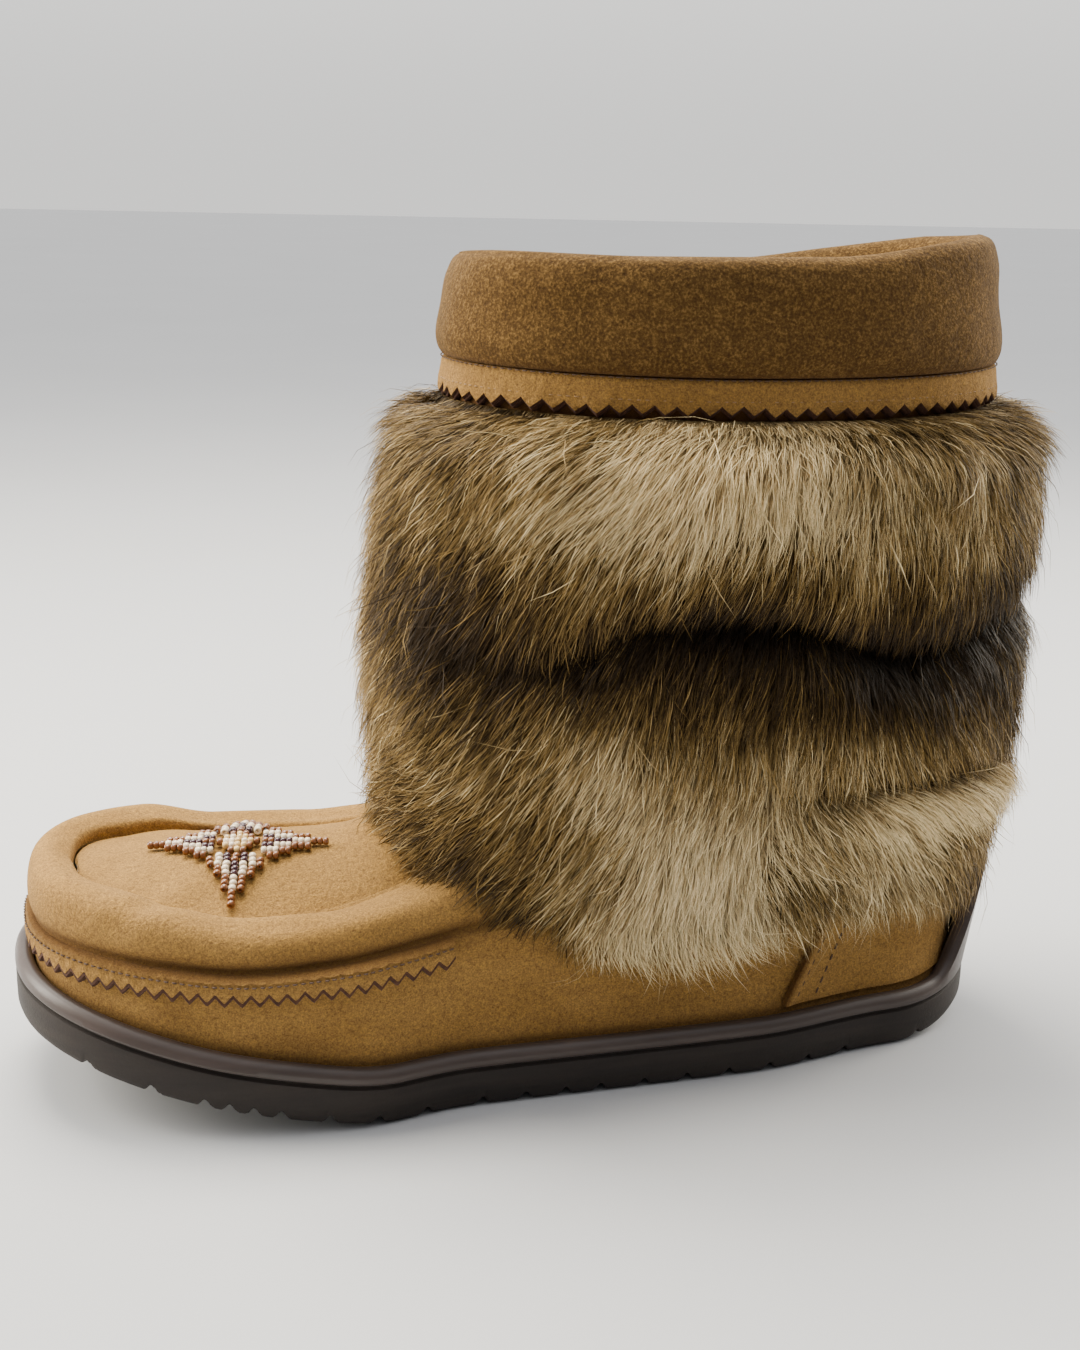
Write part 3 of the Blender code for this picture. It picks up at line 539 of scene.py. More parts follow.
# a darker copy of the suede for the cuff, painted shade
cuffSuedeShaded = suedeMaterial("suedeCuffShaded", suedeTones["cuffDark"], suedeTones["cuffMiddle"],
                          suedeTones["cuffLight"], suedeTones["seam"], 1500)


def plainMaterial(name, colour, other, scale, roughness, bump, **sockets):
    # Fine spots of two colours, and a bump with them
    material, tree, shader = newMaterial(name, roughness, **sockets)
    noise = noiseNode(tree, scale, 4.0, 0.6)
    spots = rampNode(tree, noise.outputs["Fac"], [(0.35, colour), (0.68, other)])
    tree.links.new(spots, shader.inputs["Base Color"])
    tree.links.new(bumpNode(tree, noise.outputs["Fac"], bump, 0.0004), shader.inputs["Normal"])
    return material


# dark cut leather on the bands' edges, also the layer under the teeth that is partly painted shadow
cutSuedeAndShadow = plainMaterial("suedeCutEdgeAndShadow", suedeTones["cutEdgeAndShadow"], (0.085, 0.034, 0.016), 900, 0.95, 0.5)
thread = plainMaterial("threadBrown", (0.050, 0.024, 0.011), (0.10, 0.053, 0.024), 2400, 0.7, 0.4)
threadTan = plainMaterial("threadTan", (0.20, 0.110, 0.038), (0.32, 0.190, 0.075), 2400, 0.75, 0.4)
fleece = plainMaterial("fleece", (0.40, 0.31, 0.20), (0.64, 0.55, 0.42), 700, 0.96, 0.9, Sheen_Weight=0.3)


def rubberMaterial(name, dark, light, roughness, scale, bump, **sockets):
    # Moulded rubber: a fine matt skin and faint long marks
    material, tree, shader = newMaterial(name, roughness, **sockets)
    skin = noiseNode(tree, scale, 4.0, 0.6)
    marks = noiseNode(tree, 60, 3.0, 0.6, (0.5, 0.5, 5))
    colour = rampNode(tree, marks.outputs["Fac"], [(0.32, dark), (0.72, light)])
    tree.links.new(colour, shader.inputs["Base Color"])
    rough = rangeNode(tree, skin.outputs["Fac"], 0, 1, roughness - 0.07, roughness + 0.09)
    tree.links.new(rough, shader.inputs["Roughness"])
    tree.links.new(bumpNode(tree, skin.outputs["Fac"], bump, 0.0003), shader.inputs["Normal"])
    return material


treadRubber = rubberMaterial("rubberTread", (0.016, 0.012, 0.010), (0.026, 0.019, 0.015),
                             0.62, 1400, 0.35, Specular_IOR_Level=0.3)
rimRubber = rubberMaterial("rubberRim", (0.042, 0.029, 0.024), (0.062, 0.044, 0.037),
                           0.40, 700, 0.12, Specular_IOR_Level=0.45)


# Camera, floor and lights

view = {
    "place": (-0.2287, -0.4872, 0.2375),
    "yaw": 15.41,
    "down": 14.67,
    "roll": 1.4,
    "lens": 50.19,
}


def makeCamera():
    yaw = math.radians(view["yaw"])
    down = math.radians(view["down"])
    roll = math.radians(view["roll"])
    ahead = Vector((math.sin(yaw) * math.cos(down), math.cos(yaw) * math.cos(down), -math.sin(down)))
    right = Vector((math.cos(yaw), -math.sin(yaw), 0))
    up = right.cross(ahead)
    rolledRight = right * math.cos(roll) + up * math.sin(roll)
    rolledUp = up * math.cos(roll) - right * math.sin(roll)
    data = bpy.data.cameras.new("photoCamera")
    data.sensor_width = 36
    data.lens = view["lens"]
    data.clip_start = 0.02
    camera = bpy.data.objects.new("photoCamera", data)
    bpy.context.scene.collection.objects.link(camera)
    turn = Matrix((rolledRight, rolledUp, -ahead)).transposed().to_4x4()
    camera.matrix_world = Matrix.Translation(Vector(view["place"])) @ turn
    bpy.context.scene.camera = camera


studio = {
    "floorColour": (0.47, 0.475, 0.485),
    "floorSpots": (0.485, 0.490, 0.50),
    "floorSize": 12.0,
    # brightness of the surroundings behind the boot, before it and overhead
    "behind": 1.60,
    "before": 0.17,
    "overhead": 1.20,
    "horizon": 0.66,           # how bright the far edge is beside the rest
    "coolSide": (1.00, 1.00, 1.02),
    "warmSide": (1.00, 0.99, 0.96),
    "lampColour": (1.00, 0.94, 0.82),
    # name, place, aimed at, width, height, watts
    "softBoxes": [
        ("topBox", (-0.20, 0.40, 1.05), (-0.10, 0.0, 0.08), 0.70, 0.55, 28.0),
        ("leftBox", (-0.95, 0.22, 0.50), (-0.10, 0.0, 0.10), 0.40, 0.70, 18.0),
        ("rightBox", (0.90, 0.22, 0.50), (-0.02, 0.0, 0.12), 0.40, 0.70, 14.0),
    ],
}


def makeWorld():
    # Soft surroundings, bright behind the boot and dim where the camera stands
    world = bpy.data.worlds.new("studioWorld")
    world.use_nodes = True
    tree = world.node_tree
    coords = addNode(tree, "ShaderNodeTexCoord")
    split = addNode(tree, "ShaderNodeSeparateXYZ")
    tree.links.new(coords.outputs["Generated"], split.inputs[0])
    depth = rangeNode(tree, split.outputs["Y"], -0.75, 0.75, 0, 1, "SMOOTHSTEP")
    bright = mathNode(tree, "MULTIPLY", depth, studio["behind"] - studio["before"])
    bright = mathNode(tree, "ADD", bright, studio["before"])
    overhead = rangeNode(tree, split.outputs["Z"], 0.35, 1, 0, studio["overhead"], "SMOOTHSTEP")
    horizon = rangeNode(tree, split.outputs["Z"], 0, 0.22, studio["horizon"], 1, "SMOOTHSTEP")
    total = mathNode(tree, "MULTIPLY", mathNode(tree, "ADD", bright, overhead), horizon)
    background = tree.nodes["Background"]
    tree.links.new(total, background.inputs["Strength"])
    tint = rampNode(tree, depth, [(0.0, studio["coolSide"]), (1.0, studio["warmSide"])])
    tree.links.new(tint, background.inputs["Color"])
    bpy.context.scene.world = world


def makeStudio():
    size = studio["floorSize"]
    corners = [(-size, -size, 0), (size, -size, 0), (size, size, 0), (-size, size, 0)]
    material = plainMaterial("floorPale", studio["floorColour"], studio["floorSpots"], 3, 0.8, 0.02)
    floor = makePiece("floor", corners, [[(0, 1, 2, 3)]], [material])
    for name, place, target, width, height, watts in studio["softBoxes"]:
        light = bpy.data.lights.new(name, "AREA")
        light.shape = "RECTANGLE"
        light.size = width
        light.size_y = height
        light.energy = watts
        light.color = studio["lampColour"]
        lamp = bpy.data.objects.new(name, light)
        lamp.location = place
        lamp.rotation_euler = (Vector(target) - Vector(place)).to_track_quat("-Z", "Y").to_euler()
        bpy.context.scene.collection.objects.link(lamp)


makeCamera()
makeWorld()
makeStudio()
print("camera and studio made")


# Outsole: a moulded cup with lugs, a groove round the side and a heel tab

sole = {
    "trayHeight": 0.0085,
    "grooveHeight": 0.0112,
    "rimHeight": 0.0157,
    "rimWidth": 0.0047,
    "tabHeight": 0.030,
    "tabWidth": 0.050,
    "tabLean": 0.0048,
    "heelBevel": 0.003,
    "lugDepth": 0.0028,
    "lugHalf": 0.0022,
    # places of the notches along the tread, as shares of its length
    "lugs": [0.093, 0.183, 0.228, 0.273, 0.318, 0.363, 0.408, 0.453, 0.489, 0.529,
             0.572, 0.628, 0.676, 0.723, 0.768, 0.793, 0.815, 0.837, 0.884, 0.940],
    # rings from the tread up: inset, height over the tread, share of the tab
    "rings": [(0.0030, 0.0000, 0), (0.0016, 0.0003, 0), (0.0006, 0.0012, 0), (0.0001, 0.0026, 0),
              (0.0000, 0.0060, 0), (0.0000, 0.0094, 0), (0.0002, 0.0102, 0), (0.0011, 0.0106, 0),
              (0.0013, 0.0110, 0), (0.0009, 0.0113, 0), (0.0001, 0.0117, 0), (-0.0002, 0.0124, 0),
              (0.0001, 0.0136, 1), (0.0007, 0.0147, 1), (0.0016, 0.0154, 1), (0.0026, 0.0157, 1),
              (0.0036, 0.0154, 1), (0.0044, 0.0146, 1), (0.0047, 0.0132, 1), (0.0047, 0.0085, 0)],
}


def lugNotch(x):
    # How far the tread is cut up at a place, with rounded lips
    depth = np.zeros_like(x)
    for share in sole["lugs"]:
        away = np.abs(x - (last["heelBack"] - share * last["length"])) / sole["lugHalf"]
        depth = np.maximum(depth, sole["lugDepth"] * (1 - smoothStep(0.0, 1.15, away) ** 0.8))
    return depth


def lugTurns():
    alongs = list(alongOf(np.linspace(0, np.pi, 200)))
    for share in sole["lugs"]:
        for k in (-1.3, -1.05, -0.8, -0.55, -0.3, -0.1, 0.1, 0.3, 0.55, 0.8, 1.05, 1.3):
            alongs.append(share + k * sole["lugHalf"] / last["length"])
    alongs = np.sort(np.array([a for a in alongs if 0 <= a <= 1]))
    kept = [alongs[0]]
    for a in alongs[1:]:
        if a - kept[-1] > 0.0009 or (a < 0.01 or a > 0.99) and a > kept[-1]:
            kept.append(a)
    kept[-1] = 1.0
    return turnsFrom(np.array(kept))


def tabShare(turn):
    point = outlinePoint(turn)
    share = 1 - smoothStep(0.55, 1.25, np.abs(point[..., 1]) / (sole["tabWidth"] / 2))
    return np.where(point[..., 0] < last["heelBack"] - last["heelRound"], 0.0, share)


def makeOutsole():
    turns = lugTurns()
    share = tabShare(turns)
    x = outlinePoint(turns)[:, 0]
    heel = np.maximum(1 - (last["heelBack"] - x) / last["heelLiftLength"], 0) ** 2
    notch = lugNotch(x)
    insets = []
    heights = []
    for inset, height, tab in sole["rings"]:
        rise = np.full(len(turns), height)
        if height < 0.004:
            rise = np.maximum(rise, notch * (1 - height / 0.009) + height * 0.4)
            rise = rise + sole["heelBevel"] * heel * (1 - height / 0.006)
        insets.append(inset - sole["tabLean"] * share * tab)
        heights.append(rise + treadLift(x) + sole["tabHeight"] * share * tab)

    def treadHeight(rungs, near, inside):
        rise = treadLift(rungs[..., 0]) + lugNotch(rungs[..., 0])
        return rise + (sole["heelBevel"] * heel[near])[:, None] * 0.6

    def trayHeight(rungs, near, inside):
        return sole["trayHeight"] + treadLift(rungs[..., 0])

    points, faces = footForm(turns, insets, heights, np.linspace(0, 1, 9), treadHeight,
                             np.linspace(0, 1, 5), trayHeight)
    piece = makePiece("outsoleRubber", points, faces, [treadRubber, rimRubber], 38)
    middles = np.zeros(len(piece.data.polygons) * 3, np.float32)
    piece.data.polygons.foreach_get("center", middles)
    middles = middles.reshape(-1, 3)
    rim = middles[:, 2] - treadLift(middles[:, 0]) > sole["grooveHeight"] - 0.0001
    piece.data.polygons.foreach_set("material_index", rim.astype(np.int32))
    finishPiece(piece, "rubber", "outsole")


makeOutsole()
print("outsole made")


# Upper: one hollow wall, with the moccasin's roll and plug

upper = {
    "wall": 0.0024,
    "clearance": 0.0003,
    "rollWidth": 0.016,
    "seamTuck": 0.0016,
    "rollAcross": [0.08, 0.00, -0.01, 0.15, 0.44, 0.76],
    "rollRise": [0.00, 0.17, 0.52, 0.88, 1.00, 0.94],
    "toeNarrowing": 0.25,      # how much slimmer the roll is round the toe's end
    "creaseDrop": 0.0010,      # how deep the crease lies between roll and plug
    "domeRise": 0.0016,        # how far the plug swells under the star
    "shoulderAcross": [0.00, 0.03, 0.16, 0.38, 0.70, 1.02],
    "shoulderRise": [0.00, 0.22, 0.52, 0.78, 0.94, 1.00],
    "insets": {"along": [0, 0.17, 0.30, 0.50, 0.60, 0.66, 0.80, 0.92, 1],
               "wall": [1.46, 1.44, 1.28, 1.20, 1.13, 1.12, 1.12, 1.12, 1.12],
               "roll": [1.46, 1.44, 1.30, 1.45, 1.50, 1.50, 1.42, 1.10, 0.88],
               "moccasin": [0, 0, 0, 0, 0.8, 1, 1, 1, 1]},
    "columns": 520,
    "cuts": [2, 2, 8, 3, 4, 5, 5, 5, 5, 4, 4, 3],   # rows between the levels
    "plugCells": 30,
    # soft troughs and ridges: x, y, z, turn from the boot's length, length, width, depth
    "creases": [
        (-0.118, -0.049, 0.040, 0.15, 0.016, 0.0042, 0.0011),
        (-0.104, -0.047, 0.030, -0.25, 0.020, 0.0046, 0.0009),
        (-0.088, -0.045, 0.038, 0.30, 0.015, 0.0040, 0.0008),
        (-0.142, -0.046, 0.050, 0.05, 0.018, 0.0036, 0.0009),
        (-0.172, -0.041, 0.053, -0.04, 0.014, 0.0030, 0.0007),
        (-0.205, -0.031, 0.057, 0.55, 0.012, 0.0032, 0.0007),
        (-0.222, 0.004, 0.060, 1.50, 0.013, 0.0030, 0.0006),
        (-0.196, -0.018, 0.055, 0.75, 0.015, 0.0040, -0.0006),
        (-0.160, 0.015, 0.060, 0.10, 0.020, 0.0050, 0.0006),
        (-0.150, 0.038, 0.052, 0.20, 0.018, 0.0036, 0.0009),
        (-0.110, 0.038, 0.036, -0.20, 0.020, 0.0045, 0.0010),
        (-0.060, -0.041, 0.026, 0.10, 0.022, 0.0045, 0.0007),
        (-0.192, -0.046, 0.030, 0.35, 0.014, 0.0040, 0.0006),
    ],
}


def upperSection(turns):
    # Inset and height of each level of the upper, from the tray to the plug
    along = alongOf(turns)
    ground = treadLift(outlinePoint(turns)[:, 0])
    seam = sideHeight("seam", turns)
    crest = sideHeight("crest", turns)
    table = upper["insets"]
    wall = smoothCurve(along, table["along"], table["wall"]) * sole["rimWidth"]
    roll = smoothCurve(along, table["along"], table["roll"]) * sole["rimWidth"]
    moccasin = smoothCurve(along, table["along"], table["moccasin"])
    seat = np.full(len(turns), sole["rimWidth"] + upper["clearance"])
    levels = [
        (seat, sole["trayHeight"] + upper["clearance"] + ground),
        (seat, sole["rimHeight"] - 0.0010 + ground),
        (wall, sole["rimHeight"] + 0.0022 + ground),
        (wall, seam - upper["seamTuck"]),
    ]
    width = upper["rollWidth"] * (1 - upper["toeNarrowing"] * smoothStep(0.92, 1.0, along))
    for i in range(len(upper["rollAcross"])):
        across = upper["rollAcross"][i] * moccasin + upper["shoulderAcross"][i] * (1 - moccasin)
        rise = upper["rollRise"][i] * moccasin + upper["shoulderRise"][i] * (1 - moccasin)
        levels.append((roll + across * width, seam + rise * (crest - seam)))
    # the roll stands steeply over the plug at the toe and inside, gently outside
    edge = sideHeight("edge", turns)
    steep = np.maximum(smoothStep(0.86, 0.97, along), smoothStep(0.1, -0.4, np.sin(turns))) * moccasin
    lip = edge + (levels[-1][1] - edge) * (0.45 + 0.27 * steep)
    levels.append((roll + width * (0.90 + 0.24 * (1 - moccasin) + 0.05 * steep), lip))
    valley = edge - upper["creaseDrop"] * (0.25 + 0.75 * steep) * moccasin
    levels.append((roll + width * (1.00 + 0.28 * (1 - moccasin)), valley))
    levels.append((roll + width * (1.07 + 0.33 * (1 - moccasin)), edge + 0.0002))
    return np.stack([np.stack(level, -1) for level in levels], 1)


def moveSection(section, amount):
    before = np.concatenate([section[:, :1], section[:, :-1]], 1)
    after = np.concatenate([section[:, 1:], section[:, -1:]], 1)
    step = after - before
    step = step / np.linalg.norm(step, axis=-1, keepdims=True)
    return section + np.stack([-step[..., 1], step[..., 0]], -1) * amount


def plugHeight(x, turn, share):
    low = sideHeight("edge", turn)
    high = sideHeight("edge", 2 * np.pi - turn)
    along = (last["heelBack"] - x) / last["length"]
    ridge = smoothCurve(along, last["heights"]["along"], last["heights"]["ridge"]) * last["toeHeight"]
    crown = ridge - (low + high) / 2
    dome = upper["domeRise"] * bell(along, 0.786, 0.105) * bell(share, 0.5, 0.34)
    return low * (1 - share) + high * share + crown * (1 - (2 * share - 1) ** 2) + dome


def plugSurface(x, y):
    # Height of the plug at a place, for what is sewn on it
    along = np.clip((last["heelBack"] - x) / last["length"], 0, 1)
    turn = np.arccos(1 - 2 * along)
    near = insetPoint(turn, upperSection(turn)[:, -1, 0])
    far = insetPoint(2 * np.pi - turn, upperSection(2 * np.pi - turn)[:, -1, 0])
    share = (y - near[:, 1]) / (far[:, 1] - near[:, 1])
    return plugHeight(x, turn, np.clip(share, 0, 1))


def footSolid(name, turns, section, grow, floor, cells, materials):
    insets = [section[:, level, 0] for level in range(section.shape[1])]
    heights = [section[:, level, 1] for level in range(section.shape[1])]
    if floor is not None:
        heights[0] = np.full(len(turns), floor)

    def bottom(rungs, near, inside):
        flat = sole["trayHeight"] + upper["clearance"] + treadLift(rungs[..., 0])
        return flat if floor is None else np.full_like(flat, floor)

    def top(rungs, near, inside):
        return plugHeight(rungs[..., 0], turns[near][:, None], inside[None, :]) + grow

    points, faces = footForm(turns, insets, heights, np.linspace(0, 1, 3), bottom, cosShares(cells), top)
    return makePiece(name, points, faces, materials)


def tubeSolid(name, rings, materials):
    # A closed solid from equal rings of points, the lowest first
    rings = np.asarray(rings)
    rows, count = rings.shape[:2]
    hubs = np.stack([rings[0].mean(0), rings[-1].mean(0)])
    points = np.concatenate([rings.reshape(-1, 3), hubs])
    i = np.arange(count)
    j = (i + 1) % count
    low = np.stack([j, i, np.full(count, rows * count)], -1)
    top = (rows - 1) * count
    high = np.stack([top + i, top + j, np.full(count, rows * count + 1)], -1)
    return makePiece(name, points, [ringQuads(rows, count), np.concatenate([low, high])], materials)


def shaftSolid(name, grow, overshoot, rows=30, count=160):
    angles = evenTurns(count)
    low = shaft["rows"]["height"][0] * shaft["collarHeight"]
    rings = []
    for height in np.linspace(low, shaft["collarHeight"], rows):
        xy = ovalPoint(*shaftOval(height, grow), angles)
        z = np.full(count, height)
        if height >= shaft["collarHeight"] - 1e-6:
            z = z + collarRise(xy[:, 0], xy[:, 1]) + overshoot
        rings.append(atHeight(xy, z))
    return tubeSolid(name, rings, [suede, fleece])


def cutWith(piece, operation, *others):
    # Exact solids are joined or cut, and the helpers are removed again
    for other in others:
        modifier = piece.modifiers.new("cut", "BOOLEAN")
        modifier.operation = operation
        modifier.object = other
        modifier.solver = "MANIFOLD"
    shown = piece.evaluated_get(bpy.context.evaluated_depsgraph_get())
    mesh = bpy.data.meshes.new_from_object(shown)
    piece.modifiers.clear()
    old = piece.data
    piece.data = mesh
    bpy.data.meshes.remove(old)
    mesh.name = piece.name
    for other in others:
        bpy.data.objects.remove(other, do_unlink=True)
    return piece


def pressCreases(piece, creases):
    # Moves points along their normals into soft troughs, or out where depth is below 0
    points = pointsOf(piece)
    normals = np.zeros(len(points) * 3, np.float32)
    piece.data.vertices.foreach_get("normal", normals)
    normals = normals.reshape(-1, 3)
    for x, y, z, turn, length, width, depth in creases:
        away = points - np.array([x, y, z])
        upward = away[:, 2] * math.sin(turn) * 0.7
        sideways = away[:, 1] * math.sin(turn) * 0.7
        lengthwise = away[:, 0] * math.cos(turn) + upward + sideways
        total = (away ** 2).sum(1)
        across = np.sqrt(np.maximum(total - lengthwise ** 2, 0))
        push = depth * (np.exp(-(across / width) ** 2) - 0.35 * np.exp(-((across - 2 * width) / width) ** 2))
        points = points - normals * (push * np.exp(-(lengthwise / length) ** 2))[:, None]
    piece.data.vertices.foreach_set("co", points.astype(np.float32).ravel())
    piece.data.update()


def turnAt(points):
    along = np.clip((last["heelBack"] - points[:, 0]) / last["length"], 0, 1)
    turn = np.arccos(1 - 2 * along)
    return np.where(points[:, 1] > 0, 2 * np.pi - turn, turn)


def creaseShade(points, turn):
    # Darker where the roll meets the plug: strong at the toe and inside, faint outside
    along = alongOf(turn)
    crease = insetPoint(turn, upperSection(turn)[:, 11, 0])
    away = np.linalg.norm(points[:, :2] - crease, axis=1)
    above = smoothStep(0.004, 0.001, np.abs(points[:, 2] - sideHeight("edge", turn)))
    steep = np.maximum(smoothStep(0.86, 0.97, along), smoothStep(0.1, -0.4, np.sin(turn)))
    fade = smoothStep(0.60, 0.70, along)
    return bell(away, 0.0, 0.0013) * above * fade * (0.12 + 0.68 * steep)


def makeUpper():
    turns = evenTurns(upper["columns"])
    section = refineLine(upperSection(turns), upper["cuts"], corners=(1, 2, 3, 11))
    piece = footSolid("upperSuede", turns, section, 0.0, None, upper["plugCells"], [suede, fleece])
    piece = cutWith(piece, "UNION", shaftSolid("shaftForm", 0.0, 0.0))
    coarse = evenTurns(180)
    inner = moveSection(upperSection(coarse), -upper["wall"])[:, [0, 1, 2, 3, 4, 6, 8, 12]]
    cavity = footSolid("footCavity", coarse, inner, -upper["wall"], -0.01, 10, [suede, fleece])
    tube = shaftSolid("shaftCavity", -upper["wall"], 0.01)
    for cutter in (cavity, tube):
        cutter.data.polygons.foreach_set("material_index", np.ones(len(cutter.data.polygons), np.int32))
    piece = cutWith(piece, "DIFFERENCE", cavity, tube)
    pressCreases(piece, upper["creases"])
    points = pointsOf(piece)
    turn = turnAt(points)
    seam = sideHeight("seam", turn)
    # painted shade under the roll along its seam, and in the crease between roll and plug
    front = smoothStep(-0.10, -0.13, points[:, 0])
    valley = bell(points[:, 2], seam + 0.0004, 0.0026) * 0.7 * front
    valley = np.maximum(valley, creaseShade(points, turn))
    ground = treadLift(points[:, 0]) + sole["rimHeight"]
    # painted shade where the wall meets the rubber rim
    foot = bell(points[:, 2], ground, 0.0022) * 0.55
    # darker in noisy patches just above the rubber rim
    lowPatches = np.maximum(valueNoise(points, 90, 5), 0) * bell(points[:, 2], ground + 0.004, 0.006) * 0.5
    # painted shade where the wall runs up under the cuff and the fur
    gapShade = smoothStep(0.165, 0.172, points[:, 2]) * 0.9
    setShade(piece, np.maximum(np.maximum(valley, foot), np.maximum(lowPatches, gapShade)))
    piece.data.shade_smooth()
    piece.data.set_sharp_from_angle(angle=math.radians(50))
    finishPiece(piece, "suede", "upper")


makeUpper()
print("upper made")


# Insole and lining: fleece down the inside of the shaft and on the footbed

lining = {
    "pile": 0.0022,
    "insoleThickness": 0.004,
    "top": 0.2060,
    "bottom": 0.0560,
    "gap": 0.0002,             # between the shaft's wall and the lining's back
    "rough": 0.0009,           # how far the pile's tufts stand out
    "columns": 150,
    "rings": 60,
    "insoleRough": 0.00035,
}


def makeInsole():
    turns = evenTurns(240)
    x = outlinePoint(turns)[:, 0]
    inset = sole["rimWidth"] + upper["wall"] + 3 * upper["clearance"]
    low = sole["trayHeight"] + upper["clearance"] + treadLift(x)
    insets = [np.full(len(turns), inset + step) for step in (0.0006, 0.0, 0.0, 0.0008, 0.002)]
    heights = [low + rise * lining["insoleThickness"] for rise in (0.0, 0.15, 0.7, 0.95, 1.0)]

    def bottom(rungs, near, inside):
        return sole["trayHeight"] + upper["clearance"] + treadLift(rungs[..., 0])

    def top(rungs, near, inside):
        pile = valueNoise(rungs, 420, 3) * lining["insoleRough"]
        return bottom(rungs, near, inside) + lining["insoleThickness"] + pile

    points, faces = footForm(turns, insets, heights, np.linspace(0, 1, 3), bottom, np.linspace(0, 1, 41), top)
    finishPiece(makePiece("insoleFleece", points, faces, [fleece]), "lining", "insole")


def makeLining():
    angles = evenTurns(lining["columns"])
    sheets = []
    for inward, rough in ((lining["gap"], 0.0), (lining["pile"], lining["rough"])):
        grow = -upper["wall"] - inward
        rings = []
        for height in np.linspace(lining["bottom"], lining["top"], lining["rings"]):
            xy = ovalPoint(*shaftOval(height, grow), angles)
            ring = atHeight(xy, np.full(len(xy), height))
            if rough:
                nap = valueNoise(ring, 520, 8) * 0.6 + valueNoise(ring, 190, 9) * 0.6
                step = ovalPoint(*shaftOval(height, grow - rough), angles) - xy
                ring[:, :2] += step * nap[:, None]
            rings.append(ring)
        sheets.append(np.array(rings))
    rings = np.concatenate([sheets[0], sheets[1][::-1]])
    quads = loopQuads(len(rings), len(angles))
    piece = makePiece("shaftLining", rings.reshape(-1, 3), [quads], [fleece], 80)
    finishPiece(piece, "lining")


makeInsole()
makeLining()
print("lining made")


# Stitches: short threads laid along a line, joined in one mesh a row

def stitchRow(name, path, outward, stitch, material):
    # path holds points along the seam, outward the surface's direction at each;
    # stitch is one thread's pitch, length and thickness, and how proud it stands
    pitch, length, thickness, proud = stitch
    run = runAlong(path)
    count = max(int(run[-1] / pitch), 1)
    middles = (np.arange(count) + 0.5) * run[-1] / count
    sides = 6
    ends = 7
    t = np.linspace(-1, 1, ends)
    allPoints = []
    quads = []
    tris = []
    ring = evenTurns(sides)
    for number, middle in enumerate(middles):
        jitter = rng.uniform(-0.06, 0.06) * pitch
        at = middle + jitter + t * length / 2
        line = np.stack([np.interp(at, run, path[:, k]) for k in range(3)], -1)
        normal = np.stack([np.interp(at, run, outward[:, k]) for k in range(3)], -1)
        normal /= np.linalg.norm(normal, axis=1, keepdims=True)
        ahead = np.gradient(line, axis=0)
        ahead /= np.linalg.norm(ahead, axis=1, keepdims=True)
        side = np.cross(ahead, normal)
        radius = thickness / 2 * np.sqrt(np.clip(1 - (np.abs(t) ** 3) * 0.85, 0.1, 1))
        line = line + normal * (proud * (1 - t ** 2) - thickness * 0.55 * t ** 4)[:, None]
        around = np.cos(ring)[None, :, None] * side[:, None] + np.sin(ring)[None, :, None] * normal[:, None]
        points = line[:, None] + around * radius[:, None, None]
        start = number * ends * sides
        allPoints.append(points.reshape(-1, 3))
        quads.append(ringQuads(ends, sides) + start)
        for cap, flip in ((0, True), (ends - 1, False)):
            fan = np.array([(0, k, k + 1) for k in range(1, sides - 1)]) + start + cap * sides
            tris.append(fan[:, ::-1] if flip else fan)
    faces = [np.concatenate(quads), np.concatenate(tris)]
    finishPiece(makePiece(name, np.concatenate(allPoints), faces, [material]), "suede")


# Toe band: the flange under the roll, pinked along its lower edge

toeBand = {
    "start": 0.598,
    "height": 0.0031,
    "thickness": 0.0021,
    "pitch": 0.0046,
    "toothDepth": 0.0027,
    "tuck": 0.0010,            # how far its top goes up under the roll
    "darkLayerShows": 0.0011,       # how much of the dark layer shows below the teeth: cut edge and painted shadow
    "stitchBelowTop": 0.0019,
    "stitch": (0.0020, 0.0013, 0.0005, 0.0001),
    "columns": 593,            # eight to a tooth
    "rows": 4,
    "edgeRows": 2,
}


def wallInset(turns, height):
    # How far in the upper's wall stands at a height under the seam
    section = upperSection(turns)[:, 1:5]
    return np.array([np.interp(h, s[:, 1], s[:, 0]) for h, s in zip(height, section)])


def spreadTurns(first, end, count):
    fine = np.linspace(first, end, 3000)
    run = runAlong(outlinePoint(fine))
    return np.interp(np.linspace(0, run[-1], count), run, fine), run[-1]


def bandShell(name, place, rows, materials, closed):
    # A thin band with rounded edges; place(share up, depth) gives a row of its points
    shares = np.concatenate([[0.0, 0.06], np.linspace(0.2, 0.8, rows), [0.94, 1.0]])
    depths = np.concatenate([[0.45, 0.85], np.ones(rows), [0.85, 0.45]])
    outer = [place(share, depth) for share, depth in zip(shares, depths)]
    inner = [place(share, 0.0) for share in (1.0, 0.5, 0.0)]
    loops = np.array(outer + inner).transpose(1, 0, 2)
    faces = shellFaces(loops.shape[0], loops.shape[1], closed)
    return makePiece(name, loops.reshape(-1, 3), faces, materials, 45)


def pinkDrop(run, pitch, depth):
    # A row of teeth: 0 at the cuts between them, depth at their tips
    phase = np.mod(run / pitch, 1.0)
    return depth * (1 - np.abs(2 * phase - 1)) ** 0.92


def paintCutEdges(piece, rows):
    # The lower edge and the back of a band show the cut leather
    outerRows = rows + 4
    row = np.arange(len(piece.data.polygons)) % (outerRows + 3)
    cut = (row == 0) | (row >= outerRows)
    piece.data.polygons.foreach_set("material_index", cut.astype(np.int32))


